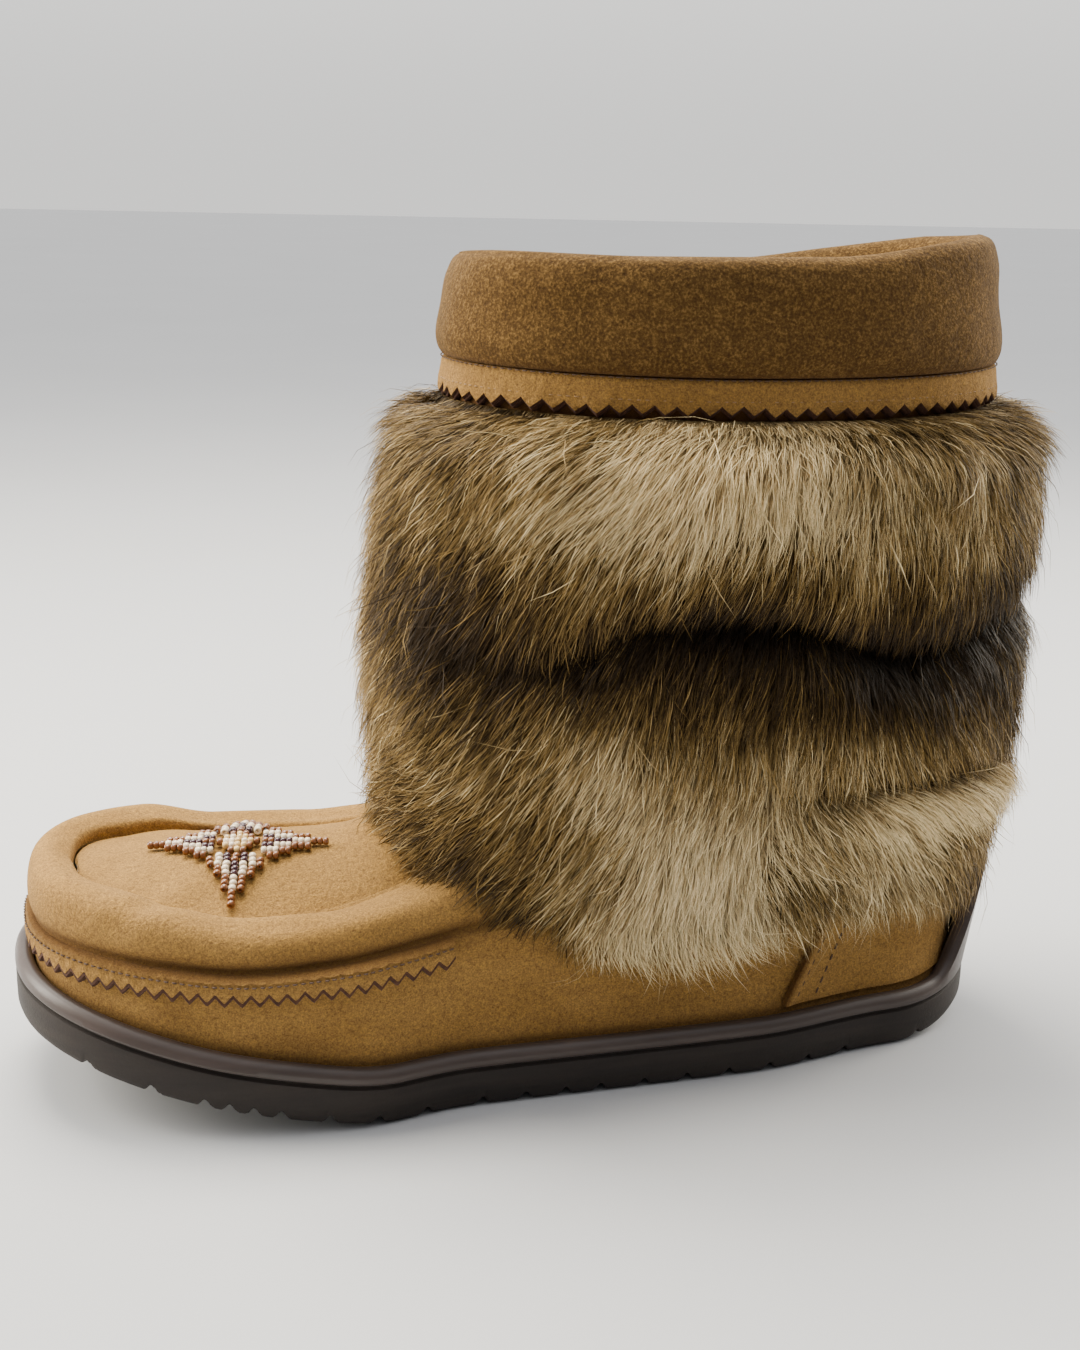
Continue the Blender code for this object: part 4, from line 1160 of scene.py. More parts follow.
def makeToeBand():
    first = math.acos(1 - 2 * toeBand["start"])
    turns, run = spreadTurns(first, 2 * math.pi - first, toeBand["columns"])
    teeth = round(run / toeBand["pitch"])
    along = np.linspace(0, 1, len(turns)) * run
    top = sideHeight("seam", turns) - upper["seamTuck"] + toeBand["tuck"]
    wobble = valueNoise(np.stack([along * 60, along * 0, along * 0], -1), 1.0, 4) * 0.00035
    drop = pinkDrop(along, run / teeth, toeBand["toothDepth"]) + wobble
    bottom = top - toeBand["tuck"] - toeBand["height"] - drop
    lift = valueNoise(np.stack([along * 110, along * 0 + 3, along * 0], -1), 1.0, 6) * 0.0004 + 0.0009

    def place(share, depth):
        height = bottom + (top - bottom) * share
        flare = lift * (1 - share) ** 2 * (1 if depth else 0)
        inset = wallInset(turns, height) + 0.0001 - toeBand["thickness"] * depth - flare
        return atHeight(insetPoint(turns, inset), height)

    # a dark layer under the teeth: partly the leather's cut edge, partly painted shadow below them
    def placeEdgeAndShadow(share, depth):
        height = bottom - toeBand["darkLayerShows"] + (top - bottom) * 0.4 * share
        inset = wallInset(turns, height) - (toeBand["thickness"] * 0.75 + lift * 0.8) * depth - 0.0001
        return atHeight(insetPoint(turns, inset), height)

    piece = bandShell("toeBandSuede", place, toeBand["rows"], [suede, cutSuedeAndShadow], False)
    paintCutEdges(piece, toeBand["rows"])
    finishPiece(bandShell("toeBandCutEdgeAndShadow", placeEdgeAndShadow, toeBand["edgeRows"], [cutSuedeAndShadow], False), "suede")
    points = pointsOf(piece)
    seam = sideHeight("seam", turnAt(points))
    # painted shade on the band's top, under the roll
    setShade(piece, bell(points[:, 2], seam, 0.0022) * 0.8)
    finishPiece(piece, "suede", "toe_band")
    height = top - toeBand["stitchBelowTop"]
    inset = wallInset(turns, height) - upper["clearance"] - toeBand["thickness"]
    path = atHeight(insetPoint(turns, inset), height)
    outward = atHeight(-outlineInward(turns), np.full(len(turns), 0.1))
    stitchRow("toeBandStitches", path, outward, toeBand["stitch"], thread)


makeToeBand()
print("toe band made")


# Heel counter: a patch round the heel with folded front edges and two seams

counter = {
    "front": 0.252,
    "lean": 0.062,
    "top": 0.049,
    "thickness": 0.0014,
    "foldWidth": 0.0016,
    "foldRise": 0.55,          # how much thicker the fold is, as a share
    "run": 0.115,              # round the heel from its middle to a front edge
    "clearance": 0.0014,       # from the rubber rim up to the lower edge
    "rows": (0.0030, 0.0088),
    "stitch": (0.0033, 0.0024, 0.0006, 0.0001),
}


def counterPlace(share, rise, depth):
    # share runs from the outer front edge (-1) round the heel to the inner one
    front = counter["front"] - counter["lean"] * rise
    turn = -np.sign(share) * np.arccos(1 - 2 * (front * share * share + 1e-7))
    ground = treadLift(outlinePoint(turn)[..., 0])
    low = sole["rimHeight"] + counter["clearance"] + ground
    height = low + (counter["top"] - low) * rise
    inset = wallInset(turn, height) - 2 * upper["clearance"] - counter["thickness"] * depth
    return atHeight(insetPoint(turn, inset), height)


def makeCounter():
    shares = np.sin(np.linspace(-np.pi / 2, np.pi / 2, 221))
    rises = np.linspace(0, 1, 14)
    edge = (1 - np.abs(shares)) * counter["run"]
    swell = counter["foldRise"] * bell(edge, counter["foldWidth"] * 0.7, counter["foldWidth"])
    fold = 1 + swell * (edge > 0)
    depth = np.where(edge <= 0, 0.25, fold)
    outer = [counterPlace(shares, np.full(len(shares), rise), depth) for rise in rises]
    inner = [counterPlace(shares, np.full(len(shares), rise), 0.0) for rise in rises[::-1]]
    loops = np.array(outer + inner).transpose(1, 0, 2)
    total = loops.shape[1]
    faces = shellFaces(len(shares), total, False)
    piece = makePiece("heelCounterSuede", loops.reshape(-1, 3), faces, [suede], 50)
    places = pointsOf(piece)
    column = np.repeat(edge, total)
    ground = treadLift(places[:, 0]) + sole["rimHeight"]
    # painted shade along the folded front edges and just above the rubber rim
    setShade(piece, np.maximum(bell(column, 0.0, 0.0011) * 0.75, bell(places[:, 2], ground, 0.002) * 0.5))
    finishPiece(piece, "suede", "heel_counter")
    rises = np.linspace(0.03, 0.97, 60)
    for side, sign in (("Outer", -1.0), ("Inner", 1.0)):
        for number, away in enumerate(counter["rows"]):
            share = np.full(len(rises), sign * (1 - away / counter["run"]))
            path = counterPlace(share, rises, 1.0)
            outward = counterPlace(share, rises, 2.0) - counterPlace(share, rises, 0.0)
            name = "counterStitches" + side + str(number + 1)
            stitchRow(name, path, outward, counter["stitch"], thread)


makeCounter()
print("heel counter made")


# Cuff: a padded suede roll over the shaft's edge, and its pinked band

cuff = {
    "pad": 0.0036,
    "padInside": 0.0060,
    "top": 0.0070,
    "out": [0.55, 0.92, 1.00, 0.80, 0.20, -0.70],
    "rise": [0.00, 0.10, 0.50, 0.82, 0.96, 1.00],
    "bandHeight": 0.0072,
    "bandThickness": 0.0016,
    "pitch": 0.0054,
    "toothDepth": 0.0024,
    "columns": 360,
    "fill": 0.75,
    "darkLayerShows": 0.0007,       # how much of the dark layer shows below the teeth: cut edge and painted shadow
    "girth": 0.0325,           # from the seam up to the cuff's top, for even rows
    "cuts": [5, 7, 6, 4, 4, 5, 4, 6, 7],
    "outerRows": 24,
    "dents": (0.0007, 0.00025),
    "seamPull": 0.0006,        # how far the seam draws the padding in
    "columnsPerTooth": 8,
    "bandRows": 7,
    "edgeRows": 3,
    "stitch": (0.0022, 0.0014, 0.00038, 0.00002),
    # how far below the seam each row of stitches runs
    "stitchRows": [("cuffSeamStitches", 0.0005, thread), ("cuffBandStitches", 0.0058, threadTan)],
}


def makeCuff():
    angles = evenTurns(cuff["columns"])
    gap = 2 * upper["clearance"]
    outSide = [(gap + cuff["pad"] * o, r) for o, r in zip(cuff["out"], cuff["rise"])]
    inSide = [(-upper["wall"] - gap - cuff["padInside"] * o, r)
              for o, r in zip(cuff["out"][:-2][::-1], cuff["rise"][:-2][::-1])]
    base = ovalPoint(*shaftOval(shaft["seamHeight"], 0.0), angles)
    low = cuffSeam(base[:, 0])
    wallTop = shaft["collarHeight"] + collarRise(base[:, 0], base[:, 1])
    high = wallTop + cuff["top"]
    profile = np.array(outSide + inSide)
    columns = np.repeat(profile[None], len(angles), 0)
    columns[..., 1] = columns[..., 1] * cuff["girth"]
    fine = refineLine(columns, cuff["cuts"])
    grow = fine[..., 0]
    rise = fine[..., 1] / cuff["girth"]
    # the seam is drawn in, and a few soft dents lie across the padding
    length = low[:, None] + (high - low)[:, None] * rise
    across = np.cos(angles)[:, None] * 0.06 + length * 0
    aside = np.sin(angles)[:, None] * 0.045 + length * 0
    place = np.stack([across, aside, length], -1)
    broad, small = cuff["dents"]
    dents = valueNoise(place, 55, 12) * broad + valueNoise(place, 150, 13) * small
    outerRows = np.arange(fine.shape[1]) < cuff["outerRows"]
    pull = np.exp(-rise / 0.03) * cuff["seamPull"]
    grow = grow + np.where(outerRows[None, :], dents * np.minimum(rise * 5, 1) - pull, -dents * 0.5)
    rings = []
    for row in range(fine.shape[1]):
        height = length[:, row]
        xy = ovalPoint(*shaftOval(np.minimum(height, shaft["collarHeight"]), grow[:, row]), angles)
        rings.append(atHeight(xy, height))
    # the channel that takes the shaft's edge: up its inside, over it and down outside
    inside = -upper["wall"] - gap
    for offset, height in ((inside, low), (inside, wallTop + gap), (gap, wallTop + gap), (gap, low)):
        xy = ovalPoint(*shaftOval(np.minimum(height, shaft["collarHeight"]), offset), angles)
        rings.append(atHeight(xy, height))
    rings = np.array(rings)
    quads = loopQuads(len(rings), len(angles))
    piece = makePiece("cuffSuedeShaded", rings.reshape(-1, 3), [quads], [cuffSuedeShaded], 60)
    points = pointsOf(piece)
    seam = cuffSeam(points[:, 0])
    # painted shade in the crease along the seam
    setShade(piece, bell(points[:, 2], seam, 0.0011) * 0.5)
    finishPiece(piece, "suede", "cuff")


def makeCuffBand():
    fine = np.linspace(0, 2 * np.pi, 4001)
    line = ovalPoint(*shaftOval(shaft["seamHeight"], 0.0), fine)
    run = runAlong(line)
    teeth = round(run[-1] / cuff["pitch"])
    count = teeth * cuff["columnsPerTooth"]
    along = np.arange(count) * run[-1] / count
    angles = np.interp(along, run, fine)
    x = ovalPoint(*shaftOval(shaft["seamHeight"], 0.0), angles)[:, 0]
    top = cuffSeam(x) - upper["clearance"]
    ringPlace = np.stack([np.cos(angles), np.sin(angles), np.zeros(count)], -1)
    drop = pinkDrop(along, run[-1] / teeth, cuff["toothDepth"]) + valueNoise(ringPlace, 9, 21) * 0.0004
    bottom = top - cuff["bandHeight"] - drop
    flare = 0.0007 + valueNoise(ringPlace, 14, 22) * 0.0005

    def place(share, depth):
        height = bottom + (top - bottom) * share
        out = cuff["bandThickness"] * depth
        if depth:
            out = out + 2 * upper["clearance"] + flare * (1 - share) ** 2
        return atHeight(ovalPoint(*shaftOval(height, out), angles), height)

    # a dark layer under the teeth: partly the leather's cut edge, partly painted shadow below them
    def placeEdgeAndShadow(share, depth):
        height = bottom - cuff["darkLayerShows"] + (top - bottom) * 0.3 * share
        out = (cuff["bandThickness"] * 0.8 + flare * 0.8 * (1 - 0.3 * share) ** 2) * depth
        return atHeight(ovalPoint(*shaftOval(height, out), angles), height)

    piece = bandShell("cuffBandSuede", place, cuff["bandRows"], [suede, cutSuedeAndShadow], True)
    paintCutEdges(piece, cuff["bandRows"])
    finishPiece(bandShell("cuffBandCutEdgeAndShadow", placeEdgeAndShadow, cuff["edgeRows"], [cutSuedeAndShadow], True), "suede")
    points = pointsOf(piece)
    # painted shade under the seam, and a little darker all over
    setShade(piece, np.maximum(bell(points[:, 2], cuffSeam(points[:, 0]), 0.0009) * 0.6, 0.12))
    finishPiece(piece, "suede", "cuff_band")
    closed = np.append(angles, angles[0] + 2 * np.pi)
    seam = cuffSeam(ovalPoint(*shaftOval(shaft["seamHeight"], 0.0), closed)[:, 0])
    out = 2 * upper["clearance"] + cuff["bandThickness"]
    for name, below, material in cuff["stitchRows"]:
        height = seam - below
        path = atHeight(ovalPoint(*shaftOval(height, out + 0.0002), closed), height)
        outward = atHeight(ovalPoint(*shaftOval(height, out + 0.01), closed), height) - path
        stitchRow(name, path, outward, cuff["stitch"], material)


makeCuff()
makeCuffBand()
print("cuff made")


# Beaded star: lanes of seed beads as charted, sewn flat on the plug

star = {
    "beadDiameter": 0.0214 * last["ballWidth"],
    "beadLength": 0.0160 * last["ballWidth"],
    "place": 0.784,
    "aside": -0.0015,
    "turn": -0.205,
    "root": 0.0063,            # from the star's middle to the arms' first beads
    # each lane outward along an arm: c copper, p plum, w white, g pale gold, - none
    "arm": ["-cc", "wwwcc", "ppwwwccc", "ccpppwwwccc", "ppwwwccc", "wwwcc", "-cc"],
    "centre": ["cgc", "gwggc", "cwwgwgc", "gwggc", "cgc"],
    "tones": {"c": ((0.165, 0.058, 0.016), 0.24), "p": ((0.036, 0.008, 0.012), 0.20),
              "w": ((0.66, 0.54, 0.38), 0.18), "g": ((0.54, 0.36, 0.14), 0.22)},
}


def beadMaterial(name, colour, roughness):
    material, tree, shader = newMaterial(name, roughness, Coat_Weight=0.3, Coat_Roughness=0.1)
    noise = noiseNode(tree, 500, 1.0)
    lighter = tuple(min(c * 1.35, 1) for c in colour)
    spots = rampNode(tree, noise.outputs["Fac"], [(0.3, colour), (0.7, lighter)])
    tree.links.new(spots, shader.inputs["Base Color"])
    return material


def beadShape():
    # An oblate bead with its hole along X, unit width and unit length
    around = evenTurns(14)
    line = [(-0.36, 0.17), (-0.49, 0.27), (-0.47, 0.39), (-0.30, 0.48), (0.0, 0.515),
            (0.30, 0.48), (0.47, 0.39), (0.49, 0.27), (0.36, 0.17)]
    rings = np.array([[(x, r * math.cos(a), r * math.sin(a)) for a in around] for x, r in line])
    return rings.reshape(-1, 3), loopQuads(len(line), len(around))[:, ::-1]


def makeBeads():
    tones = {key: beadMaterial("bead" + word, *star["tones"][key])
             for key, word in (("c", "Copper"), ("p", "Plum"), ("w", "White"), ("g", "PaleGold"))}
    order = list(tones)
    shape, shapeQuads = beadShape()
    centreX = last["heelBack"] - star["place"] * last["length"]
    step = 0.0005              # over which the plug's slope is measured
    fields = [("starCentre", "bead_centre", star["centre"], None, 0)]
    for quarter, side in enumerate(("Instep", "Inner", "Toe", "Outer")):
        fields.append(("starArm" + side, "bead_arm_" + side.lower(), star["arm"], star["root"], quarter))
    for name, node, lanes, first, quarter in fields:
        turn = star["turn"] + quarter * math.pi / 2
        allPoints = []
        allQuads = []
        index = []
        for lane, beads in enumerate(lanes):
            across = (lane - (len(lanes) - 1) / 2) * star["beadDiameter"]
            start = first if first is not None else -len(beads) * star["beadLength"] / 2
            for number, tone in enumerate(beads):
                if tone == "-":
                    continue
                out = start + (number + 0.5) * star["beadLength"] + rng.normal(0, 0.00006)
                side = across + rng.normal(0, 0.00009)
                x = centreX + out * math.cos(turn) - side * math.sin(turn)
                y = star["aside"] + out * math.sin(turn) + side * math.cos(turn)
                place = plugSurface(np.array([x, x + step, x]), np.array([y, y, y + step]))
                slopes = (place[1:] - place[0]) / step
                normal = Vector((-slopes[0], -slopes[1], 1)).normalized()
                lean = turn + rng.normal(0, 0.07)
                ahead = Vector((math.cos(lean), math.sin(lean), rng.normal(0, 0.05)))
                ahead = (ahead - normal * ahead.dot(normal)).normalized()
                basis = np.array([ahead, normal.cross(ahead), normal])
                wide = star["beadDiameter"] * rng.uniform(0.94, 1.0)
                long = star["beadLength"] * rng.uniform(0.93, 1.0)
                local = shape * np.array([long, wide, wide])
                centre = np.array([x, y, place[0]]) + np.array(normal) * (wide * 0.5 + 0.0004)
                allQuads.append(shapeQuads + len(allPoints) * len(shape))
                allPoints.append(local @ basis + centre)
                index.append(np.full(len(shapeQuads), order.index(tone), np.int32))
        materials = list(tones.values())
        piece = makePiece(name, np.concatenate(allPoints), [np.concatenate(allQuads)], materials, 60)
        piece.data.polygons.foreach_set("material_index", np.concatenate(index))
        finishPiece(piece, "beads", node)


makeBeads()
print("beads made")


# Fur sleeve: a thick underfur body, and guard hairs in tufts over it

fur = {
    "depth": 0.020,
    "hemHeight": 0.041,
    "creaseHeight": 0.128,
    "creaseDepth": 0.0055,
    "underfur": 0.0060,        # from the sleeve's outer form down to the underfur
    "underfurColumns": 240,
    "underfurRows": 84,
    "table": {"height": [0.19, 0.26, 0.35, 0.47, 0.60, 0.70, 0.80, 0.835, 0.850],
              "front": [0.22, 0.30, 0.40, 0.68, 0.87, 0.88, 0.79, 0.50, 0.16],
              "back": [0.76, 0.80, 0.93, 0.93, 0.98, 1.06, 1.00, 0.70, 0.22],
              "side": [1.06, 1.10, 1.02, 0.94, 0.92, 0.95, 0.84, 0.52, 0.16]},
    "hem": {"along": [0, 0.03, 0.07, 0.14, 0.28, 0.42, 0.55, 0.70, 0.86, 1],
            "height": [1.62, 1.36, 1.12, 1.02, 1.00, 1.06, 1.20, 1.30, 1.18, 1.04]},
    "crease": {"along": [0, 0.16, 0.34, 0.52, 0.72, 0.90, 1],
               "height": [0, -1.2, 0.9, 0.8, -1.0, 0.2, 0.6],
               "depth": [0, 0.5, 0.9, 1.0, 1.0, 0.7, 0.5]},
    # the pelt's low fold outside, from its first x to its last
    "fold": {"height": 0.0865, "first": -0.050, "end": 0.028, "depth": 0.0034, "ridge": 0.0012},
    "meshes": 4,
    "hairsPerMesh": 29500,
    "hairLength": (0.009, 0.017),
    "hairWidth": (0.00016, 0.00031),
    "liftShare": 0.42,
    "frontLift": 0.30,         # how much fuller the hair stands at the front
    "clumpWidth": 0.0042,
    "clumpPull": 0.55,
    "strayShare": 0.035,
    "strayLift": 1.5,
    "strayCurl": 3.0,
    "slopeSpread": 0.13,
    "curlSpread": 0.13,
    "toneSpread": 0.45,
    "hemUp": 0.0036,
    "hemIn": 0.0012,
    "hemLonger": 0.30,         # how much longer the hem's hairs are
    "lowFront": 0.06,          # how far the pelt's front reaches below the hem
    # how the hair is combed outside: x, z, slope of the hairs towards the heel
    "comb": [(-0.134, 0.166, -0.45), (-0.097, 0.166, -0.55), (-0.061, 0.166, -0.38), (-0.032, 0.166, -0.08),
             (0.000, 0.166, 0.12), (0.031, 0.166, 0.35), (-0.129, 0.137, -0.30), (-0.097, 0.137, -0.45),
             (-0.061, 0.137, -0.35), (-0.032, 0.137, -0.15), (0.000, 0.137, -0.05), (0.031, 0.137, 0.05),
             (-0.134, 0.107, -0.60), (-0.103, 0.107, -0.60), (-0.071, 0.107, -0.28), (-0.032, 0.112, -0.15),
             (0.000, 0.112, 0.00), (0.028, 0.107, 0.10), (-0.123, 0.088, -0.90), (-0.092, 0.088, -0.80),
             (-0.061, 0.088, -0.35), (-0.032, 0.095, 0.00), (0.000, 0.095, 0.35), (0.026, 0.093, 0.30),
             (-0.118, 0.068, -0.80), (-0.092, 0.069, -0.60), (-0.063, 0.069, -0.05), (-0.032, 0.078, 0.75),
             (0.000, 0.080, 1.20), (0.025, 0.079, 0.40), (-0.032, 0.068, 1.10), (0.000, 0.068, 1.00),
             (0.019, 0.069, 0.70), (-0.102, 0.049, -0.40), (-0.071, 0.049, -0.05), (-0.045, 0.049, 0.35),
             (-0.030, 0.049, 0.60), (-0.006, 0.054, 0.70)],
    "combReach": 0.013,
    # tones outside: x, z, width, height, lighter or darker; the dark ones at the main crease and at the low
    # fold's trough are painted shadow, the light one on the fold's ridge a painted highlight
    "patches": [(-0.060, 0.167, 0.036, 0.014, 1.45), (-0.100, 0.160, 0.022, 0.012, 0.20),
                (0.015, 0.160, 0.022, 0.012, 0.25), (-0.062, 0.134, 0.020, 0.011, -0.95),
                (-0.122, 0.132, 0.018, 0.018, -0.60), (-0.092, 0.122, 0.018, 0.009, -0.60),
                (-0.012, 0.122, 0.026, 0.014, -0.95), (0.025, 0.125, 0.016, 0.024, -0.40),
                (-0.092, 0.094, 0.026, 0.013, 0.40), (-0.062, 0.066, 0.020, 0.026, 1.25),
                (-0.084, 0.050, 0.018, 0.012, 0.55), (-0.116, 0.070, 0.010, 0.018, -0.35),
                (-0.104, 0.050, 0.010, 0.008, -0.80), (-0.020, 0.098, 0.020, 0.009, 0.30),
                (0.001, 0.0865, 0.013, 0.0035, -1.10), (0.000, 0.079, 0.028, 0.0055, 1.65),
                (-0.014, 0.064, 0.026, 0.010, 0.75), (-0.035, 0.061, 0.012, 0.004, -0.60),
                (0.026, 0.080, 0.010, 0.016, 0.10)],
    # grey instead of gold: x, z, width, height
    "grey": [(-0.060, 0.062, 0.026, 0.030), (-0.020, 0.056, 0.030, 0.014)],
    # root colours, darker than the tips: the hair's own banding, made darker still as painted self-shadow
    "baseDark": (0.011, 0.006, 0.0022),
    "baseLight": (0.085, 0.053, 0.021),
    "baseCream": (0.470, 0.330, 0.150),
    "tipDark": (0.036, 0.020, 0.0065),
    "tipGold": (0.370, 0.228, 0.066),
    "tipCream": (0.960, 0.765, 0.420),
    "greyTint": (0.98, 1.00, 1.06),
    "patchStrength": 1.55,
    "creaseShadow": 0.88,
}


def furTop(x):
    return cuffSeam(x) - cuff["bandHeight"] - cuff["toothDepth"] - 4 * upper["clearance"]


def creaseLine(along):
    # Height and depth share of the sleeve's main crease
    crease = fur["crease"]
    height = smoothCurve(along, crease["along"], crease["height"]) * fur["creaseDepth"] + fur["creaseHeight"]
    return height, smoothCurve(along, crease["along"], crease["depth"])


def lowFold(points, height):
    # The low fold outside, from its trough down over its ridge
    fold = fur["fold"]
    x = points[..., 0]
    begun = smoothStep(fold["first"], fold["first"] + 0.025, x)
    left = smoothStep(fold["end"], fold["end"] - 0.014, x)
    here = begun * left * smoothStep(0.0, -0.02, points[..., 1])
    trough = fold["depth"] * bell(height, fold["height"], 0.0042)
    return here * (fold["ridge"] * bell(height, fold["height"] - 0.009, 0.006) - trough)


def furPlace(angle, share, sunk):
    # A point of the sleeve: angle round it, share from hem to top, depth below it
    plain = ovalPoint(*shaftOval(fur["creaseHeight"], 0.0), angle)
    front, back = shaftOval(fur["creaseHeight"], 0.0)[:2]
    along = (plain[..., 0] - front) / (back - front)
    hem = smoothCurve(along, fur["hem"]["along"], fur["hem"]["height"]) * fur["hemHeight"]
    top = furTop(plain[..., 0])
    height = hem + (top - hem) * share
    level = height / shaft["collarHeight"]
    table = fur["table"]
    sides = ("front", "back", "side")
    depths = [smoothCurve(level, table["height"], table[side]) * fur["depth"] for side in sides]
    middle, strength = creaseLine(along)
    trough = strength * fur["creaseDepth"] * bell(height, middle, 1.4 * fur["creaseDepth"])
    extra = lowFold(plain, height) - trough
    depths = [np.maximum(d - sunk + extra, np.minimum(0.0012, d)) for d in depths]
    front, back, half = shaftOval(height, 0.0)
    xy = ovalPoint(front - depths[0], back + depths[1], half + depths[2], angle)
    return np.concatenate([xy, height[..., None]], -1)


def furFrame(angle, share):
    # Place, outward direction, downward and sideways directions on the underfur
    sunk = fur["underfur"]
    at = furPlace(angle, share, sunk)
    around = furPlace(angle + 0.01, share, sunk) - furPlace(angle - 0.01, share, sunk)
    down = furPlace(angle, share - 0.01, sunk) - furPlace(angle, share + 0.01, sunk)
    around /= np.linalg.norm(around, axis=-1, keepdims=True)
    down /= np.linalg.norm(down, axis=-1, keepdims=True)
    outward = np.cross(down, around)
    outward /= np.linalg.norm(outward, axis=-1, keepdims=True)
    return at, outward, down, around


def combSlope(points):
    # The hairs' slope: charted outside, drifting over the rest of the pelt
    outerSide = smoothStep(0.015, -0.015, points[..., 1])
    weights = np.full(points.shape[:-1], 1e-4)
    total = np.zeros(points.shape[:-1])
    for x, z, slope in fur["comb"]:
        weight = np.exp(-((points[..., 0] - x) ** 2 + (points[..., 2] - z) ** 2) / fur["combReach"] ** 2)
        weights += weight
        total += weight * slope
    drift = valueNoise(points, 24, 41) * 0.50 + valueNoise(points, 60, 42) * 0.28
    return total / weights * outerSide + drift * (1 - 0.6 * outerSide)


def furToneAndShade(points):
    # -1 dark to 1 light: charted patches outside, some of them painted shadow and highlight at the folds,
    # drifting patches elsewhere
    outerSide = smoothStep(0.015, -0.015, points[..., 1])
    tone = valueNoise(points, 70, 31) * 0.28 + valueNoise(points * np.array([1, 1, 0.4]), 190, 32) * 0.30
    broad = valueNoise(points + 0.3, 19, 33) * 0.9 + valueNoise(points + 0.7, 38, 34) * 0.45
    charted = np.zeros(points.shape[:-1])
    for x, z, width, height, value in fur["patches"]:
        charted += value * np.exp(-((points[..., 0] - x) / width) ** 2 - ((points[..., 2] - z) / height) ** 2)
    return tone + (charted * fur["patchStrength"] - 0.15) * outerSide + broad * (1 - outerSide)


def furGrey(points):
    outerSide = smoothStep(0.015, -0.015, points[..., 1])
    charted = np.zeros(points.shape[:-1])
    for x, z, width, height in fur["grey"]:
        charted += np.exp(-((points[..., 0] - x) / width) ** 2 - ((points[..., 2] - z) / height) ** 2)
    drifting = smoothStep(0.1, 0.7, valueNoise(points, 22, 35))
    return np.clip(charted * outerSide + drifting * (1 - outerSide), 0, 1)


def furShadow(points):
    # Little light reaches down into the creases
    front, back = shaftOval(fur["creaseHeight"], 0.0)[:2]
    height, share = creaseLine(np.clip((points[..., 0] - front) / (back - front), 0, 1))
    main = share * bell(points[..., 2], height - 0.001, 0.0052)
    low = -lowFold(points, points[..., 2]) / fur["fold"]["depth"]
    return 1 - fur["creaseShadow"] * np.clip(main + np.maximum(low, 0) * 0.8, 0, 1)


def furColours(points, spread, random):
    # Root and tip colours of hairs whose roots stand at these points
    tone = furToneAndShade(points) + random.normal(0, spread, len(points))
    light = smoothStep(-1.0, 0.55, tone)[:, None]
    cream = smoothStep(0.10, 1.30, tone)[:, None]
    tip = np.array(fur["tipDark"]) * (1 - light) + np.array(fur["tipGold"]) * light
    tip = tip * (1 - cream) + np.array(fur["tipCream"]) * cream
    base = np.array(fur["baseDark"]) * (1 - light) + np.array(fur["baseLight"]) * light
    base = base * (1 - cream) + np.array(fur["baseCream"]) * cream
    tint = 1 + (np.array(fur["greyTint"]) - 1) * furGrey(points)[:, None]
    shadow = furShadow(points)[:, None]
    return base * tint * shadow, tip * tint * (0.25 + 0.75 * shadow)


def furMaterial(name, under):
    material, tree, shader = newMaterial(name, 0.9 if under else 0.5)
    shader.inputs["Specular IOR Level"].default_value = 0.05 if under else 0.12
    colour = attributeNode(tree, "hairColour")
    noise = noiseNode(tree, 900, 2.0, 0.6, (1, 1, 0.12))
    streaks = rampNode(tree, noise.outputs["Fac"], [(0.3, (0.70, 0.70, 0.70)), (0.7, (1.15, 1.15, 1.15))])
    tree.links.new(mixColours(tree, "MULTIPLY", 1.0, colour, streaks), shader.inputs["Base Color"])
    if under:
        tree.links.new(bumpNode(tree, noise.outputs["Fac"], 0.8, 0.0015), shader.inputs["Normal"])
    return material


def makeUnderfur():
    angles = evenTurns(fur["underfurColumns"])
    rings = []
    for share in np.linspace(0, 1, fur["underfurRows"]):
        at, outward = furFrame(angles, np.full(len(angles), share))[:2]
        tufts = valueNoise(at * np.array([1, 1, 0.45]), 260, 14) * 0.0009 + valueNoise(at, 90, 15) * 0.0008
        edge = min(share * 8, (1 - share) * 10, 1)
        rings.append(at + outward * (tufts * edge)[:, None])
    piece = tubeSolid("underfur", rings, [furMaterial("underfurBrown", True)])
    turns = evenTurns(180)
    foot = footSolid("furFoot", turns, moveSection(upperSection(turns), 0.0006), 0.0006, 0.0, 10, [suede])
    piece = cutWith(piece, "DIFFERENCE", foot, shaftSolid("furShaft", 0.0006, 0.0))
    points = pointsOf(piece)
    base, tip = furColours(points, 0.25, np.random.default_rng(77))
    paintPoints(piece, "hairColour", base * 0.75 + tip * 0.12)
    finishPiece(piece, "fur", "fur_sleeve")


def hairLine(root, slope, length, curl, lift, t):
    # Points of the hairs at t from root to tip: out of the pelt, then along it
    at, outward, down, around = root
    turn = np.arctan(slope)
    c = np.cos(turn)[:, None]
    s = np.sin(turn)[:, None]
    ahead = down * c + around * s
    across = around * c - down * s
    rise = lift * (1 - (1 - t) ** 2) * length
    run = length * (0.32 * t + 0.60 * t ** 1.6)
    aside = length * curl * t * t
    return at + outward * rise[:, None] + ahead * run[:, None] + across * aside[:, None]


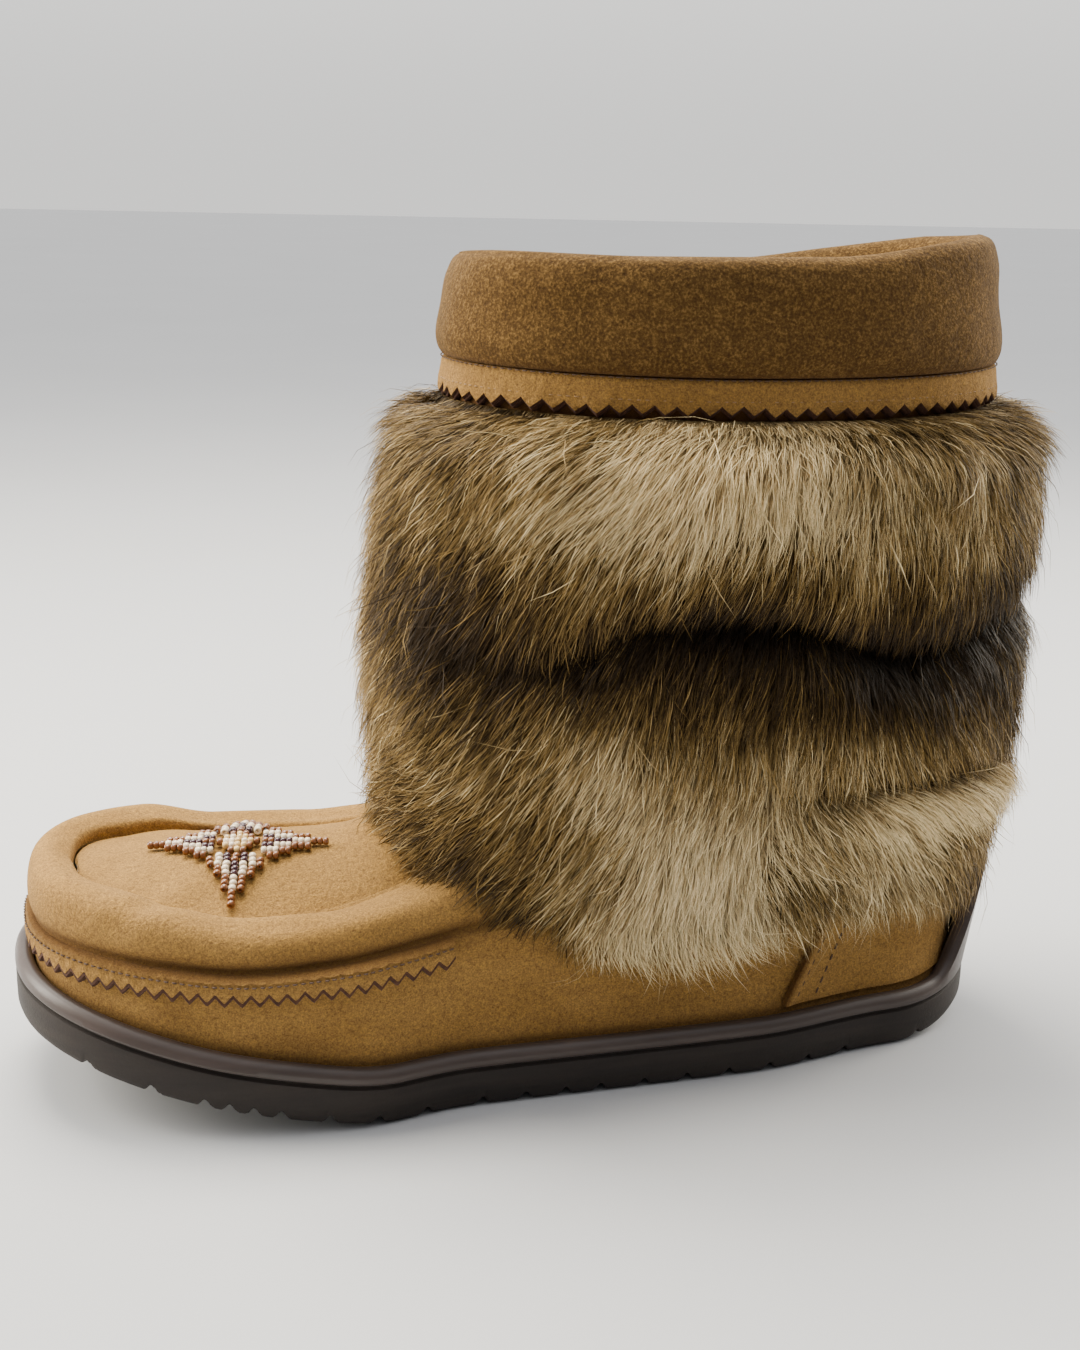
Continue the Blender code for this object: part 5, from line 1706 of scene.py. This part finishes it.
def makeHairs(number, material):
    count = fur["hairsPerMesh"]
    local = np.random.default_rng(500 + number)
    angle = local.uniform(0, 2 * np.pi, count * 3)
    share = local.uniform(0.0, 1.0, count * 3) ** 0.92
    share = np.where(local.uniform(size=count * 3) < 0.05, local.uniform(0.0, 0.05, count * 3), share)
    share = np.where(local.uniform(size=count * 3) < 0.05, local.uniform(0.93, 1.0, count * 3), share)
    share = np.where(local.uniform(size=count * 3) < 0.04, local.uniform(0.99, 1.0, count * 3), share)
    frontness = smoothStep(0.30, 0.08, (1 + np.cos(angle)) / 2)
    share = share - fur["lowFront"] * frontness * (1 - np.clip(share, 0, 1)) ** 2
    # as many hairs to the square millimetre at the sides as at the ends
    step = furPlace(angle + 0.01, share, 0.0) - furPlace(angle - 0.01, share, 0.0)
    spread = np.linalg.norm(step, axis=1)
    kept = local.uniform(0, spread.max(), count * 3) < spread
    angle = angle[kept][:count]
    share = share[kept][:count]
    count = len(angle)
    root = furFrame(angle, share)
    at, outward, down, around = root
    # the hem's hairs are rooted a little higher and further in, under the others
    atHem = (smoothStep(0.045, 0.0, share) * local.uniform(0.3, 1.0, count))[:, None]
    at = at + atHem * (np.array([0, 0, fur["hemUp"]]) - outward * fur["hemIn"])
    root = (at, outward, down, around)
    slope = combSlope(at) + local.normal(0, fur["slopeSpread"], count)
    curl = valueNoise(at, 60, 43) * 0.22 + local.normal(0, fur["curlSpread"], count)
    length = local.uniform(*fur["hairLength"], count) * (0.92 + 0.22 * valueNoise(at, 45, 44))
    length *= 0.72 + 0.28 * smoothStep(1.0, 0.93, share)
    lift = fur["liftShare"] * (0.9 + 0.3 * valueNoise(at, 70, 45)) * local.uniform(0.7, 1.3, count)
    stray = local.uniform(size=count) < fur["strayShare"]
    lift = np.where(stray, lift * fur["strayLift"], lift)
    lift = lift * (1 + fur["frontLift"] * smoothStep(0.30, 0.05, (1 + np.cos(angle)) / 2))
    length = length * (1 + fur["hemLonger"] * smoothStep(0.12, 0.0, share))
    curl = np.where(stray, curl * fur["strayCurl"], curl)
    # tufts: each hair is drawn towards the line of its tuft's middle hair
    columns = round(0.42 / fur["clumpWidth"])
    rows = round(0.14 / (fur["clumpWidth"] * 1.3))
    column = np.floor(angle / (2 * np.pi) * columns)
    odd = 0.5 * np.mod(column, 2)
    row = np.floor(share * rows + odd)
    key = np.stack([column, row, np.zeros(count)], -1)
    shift = np.stack([valueNoise(key + 0.5, 7.31, 51), valueNoise(key + 0.5, 5.77, 52)], -1)
    midAngle = (column + 0.5 + 0.45 * shift[:, 0]) * 2 * np.pi / columns
    midShare = np.clip((row + 0.5 - odd + 0.45 * shift[:, 1]) / rows, 0, 1)
    middleRoot = furFrame(midAngle, midShare)
    midSlope = combSlope(middleRoot[0]) + 0.25 * shift[:, 1]
    midLength = length * 0.4 + 0.6 * np.mean(fur["hairLength"])
    pull = fur["clumpPull"] * local.uniform(0.2, 1.0, count) * smoothStep(1.0, 0.90, share)
    pull = np.where(stray, 0.0, pull)
    points = []
    for t in (0.0, 0.34, 0.68, 1.0):
        ts = np.full(count, t)
        own = hairLine(root, slope, length, curl, lift, ts)
        middle = hairLine(middleRoot, midSlope, midLength, curl * 0.5, lift * 0.95, ts)
        drawn = (pull * t ** 1.3)[:, None]
        points.append(own * (1 - drawn) + middle * drawn)
    lines = np.stack(points, 1)
    ahead = np.gradient(lines, axis=1)
    side = np.cross(ahead, outward[:, None])
    side /= np.linalg.norm(side, axis=2, keepdims=True) + 1e-9
    twist = local.normal(0, 0.5, count)[:, None, None]
    side = side * np.cos(twist) + outward[:, None] * np.sin(twist)
    taper = np.array([0.9, 1.0, 0.65])[None, :, None]
    width = local.uniform(*fur["hairWidth"], count)[:, None, None] * taper
    left = lines[:, :3] - side[:, :3] * width / 2
    right = lines[:, :3] + side[:, :3] * width / 2
    block = np.concatenate([np.stack([left, right], 2).reshape(count, 6, 3), lines[:, 3:]], 1)
    start = np.arange(count)[:, None] * 7
    quads = np.concatenate([start + np.array([0, 1, 3, 2]), start + np.array([2, 3, 5, 4])])
    tris = start + np.array([4, 5, 6])
    piece = makePiece("guardHairs" + str(number + 1), block.reshape(-1, 3), [quads, tris], [material], None)
    base, tip = furColours(at, fur["toneSpread"], local)
    shares = np.array([0.0, 0.0, 0.30, 0.30, 0.95, 0.95, 0.80])[None, :, None]
    colours = base[:, None] * (1 - shares) + tip[:, None] * shares
    paintPoints(piece, "hairColour", colours.reshape(-1, 3))
    finishPiece(piece, "fur")


makeUnderfur()
hairMaterial = furMaterial("guardHair", False)
for number in range(fur["meshes"]):
    makeHairs(number, hairMaterial)
print("fur made")
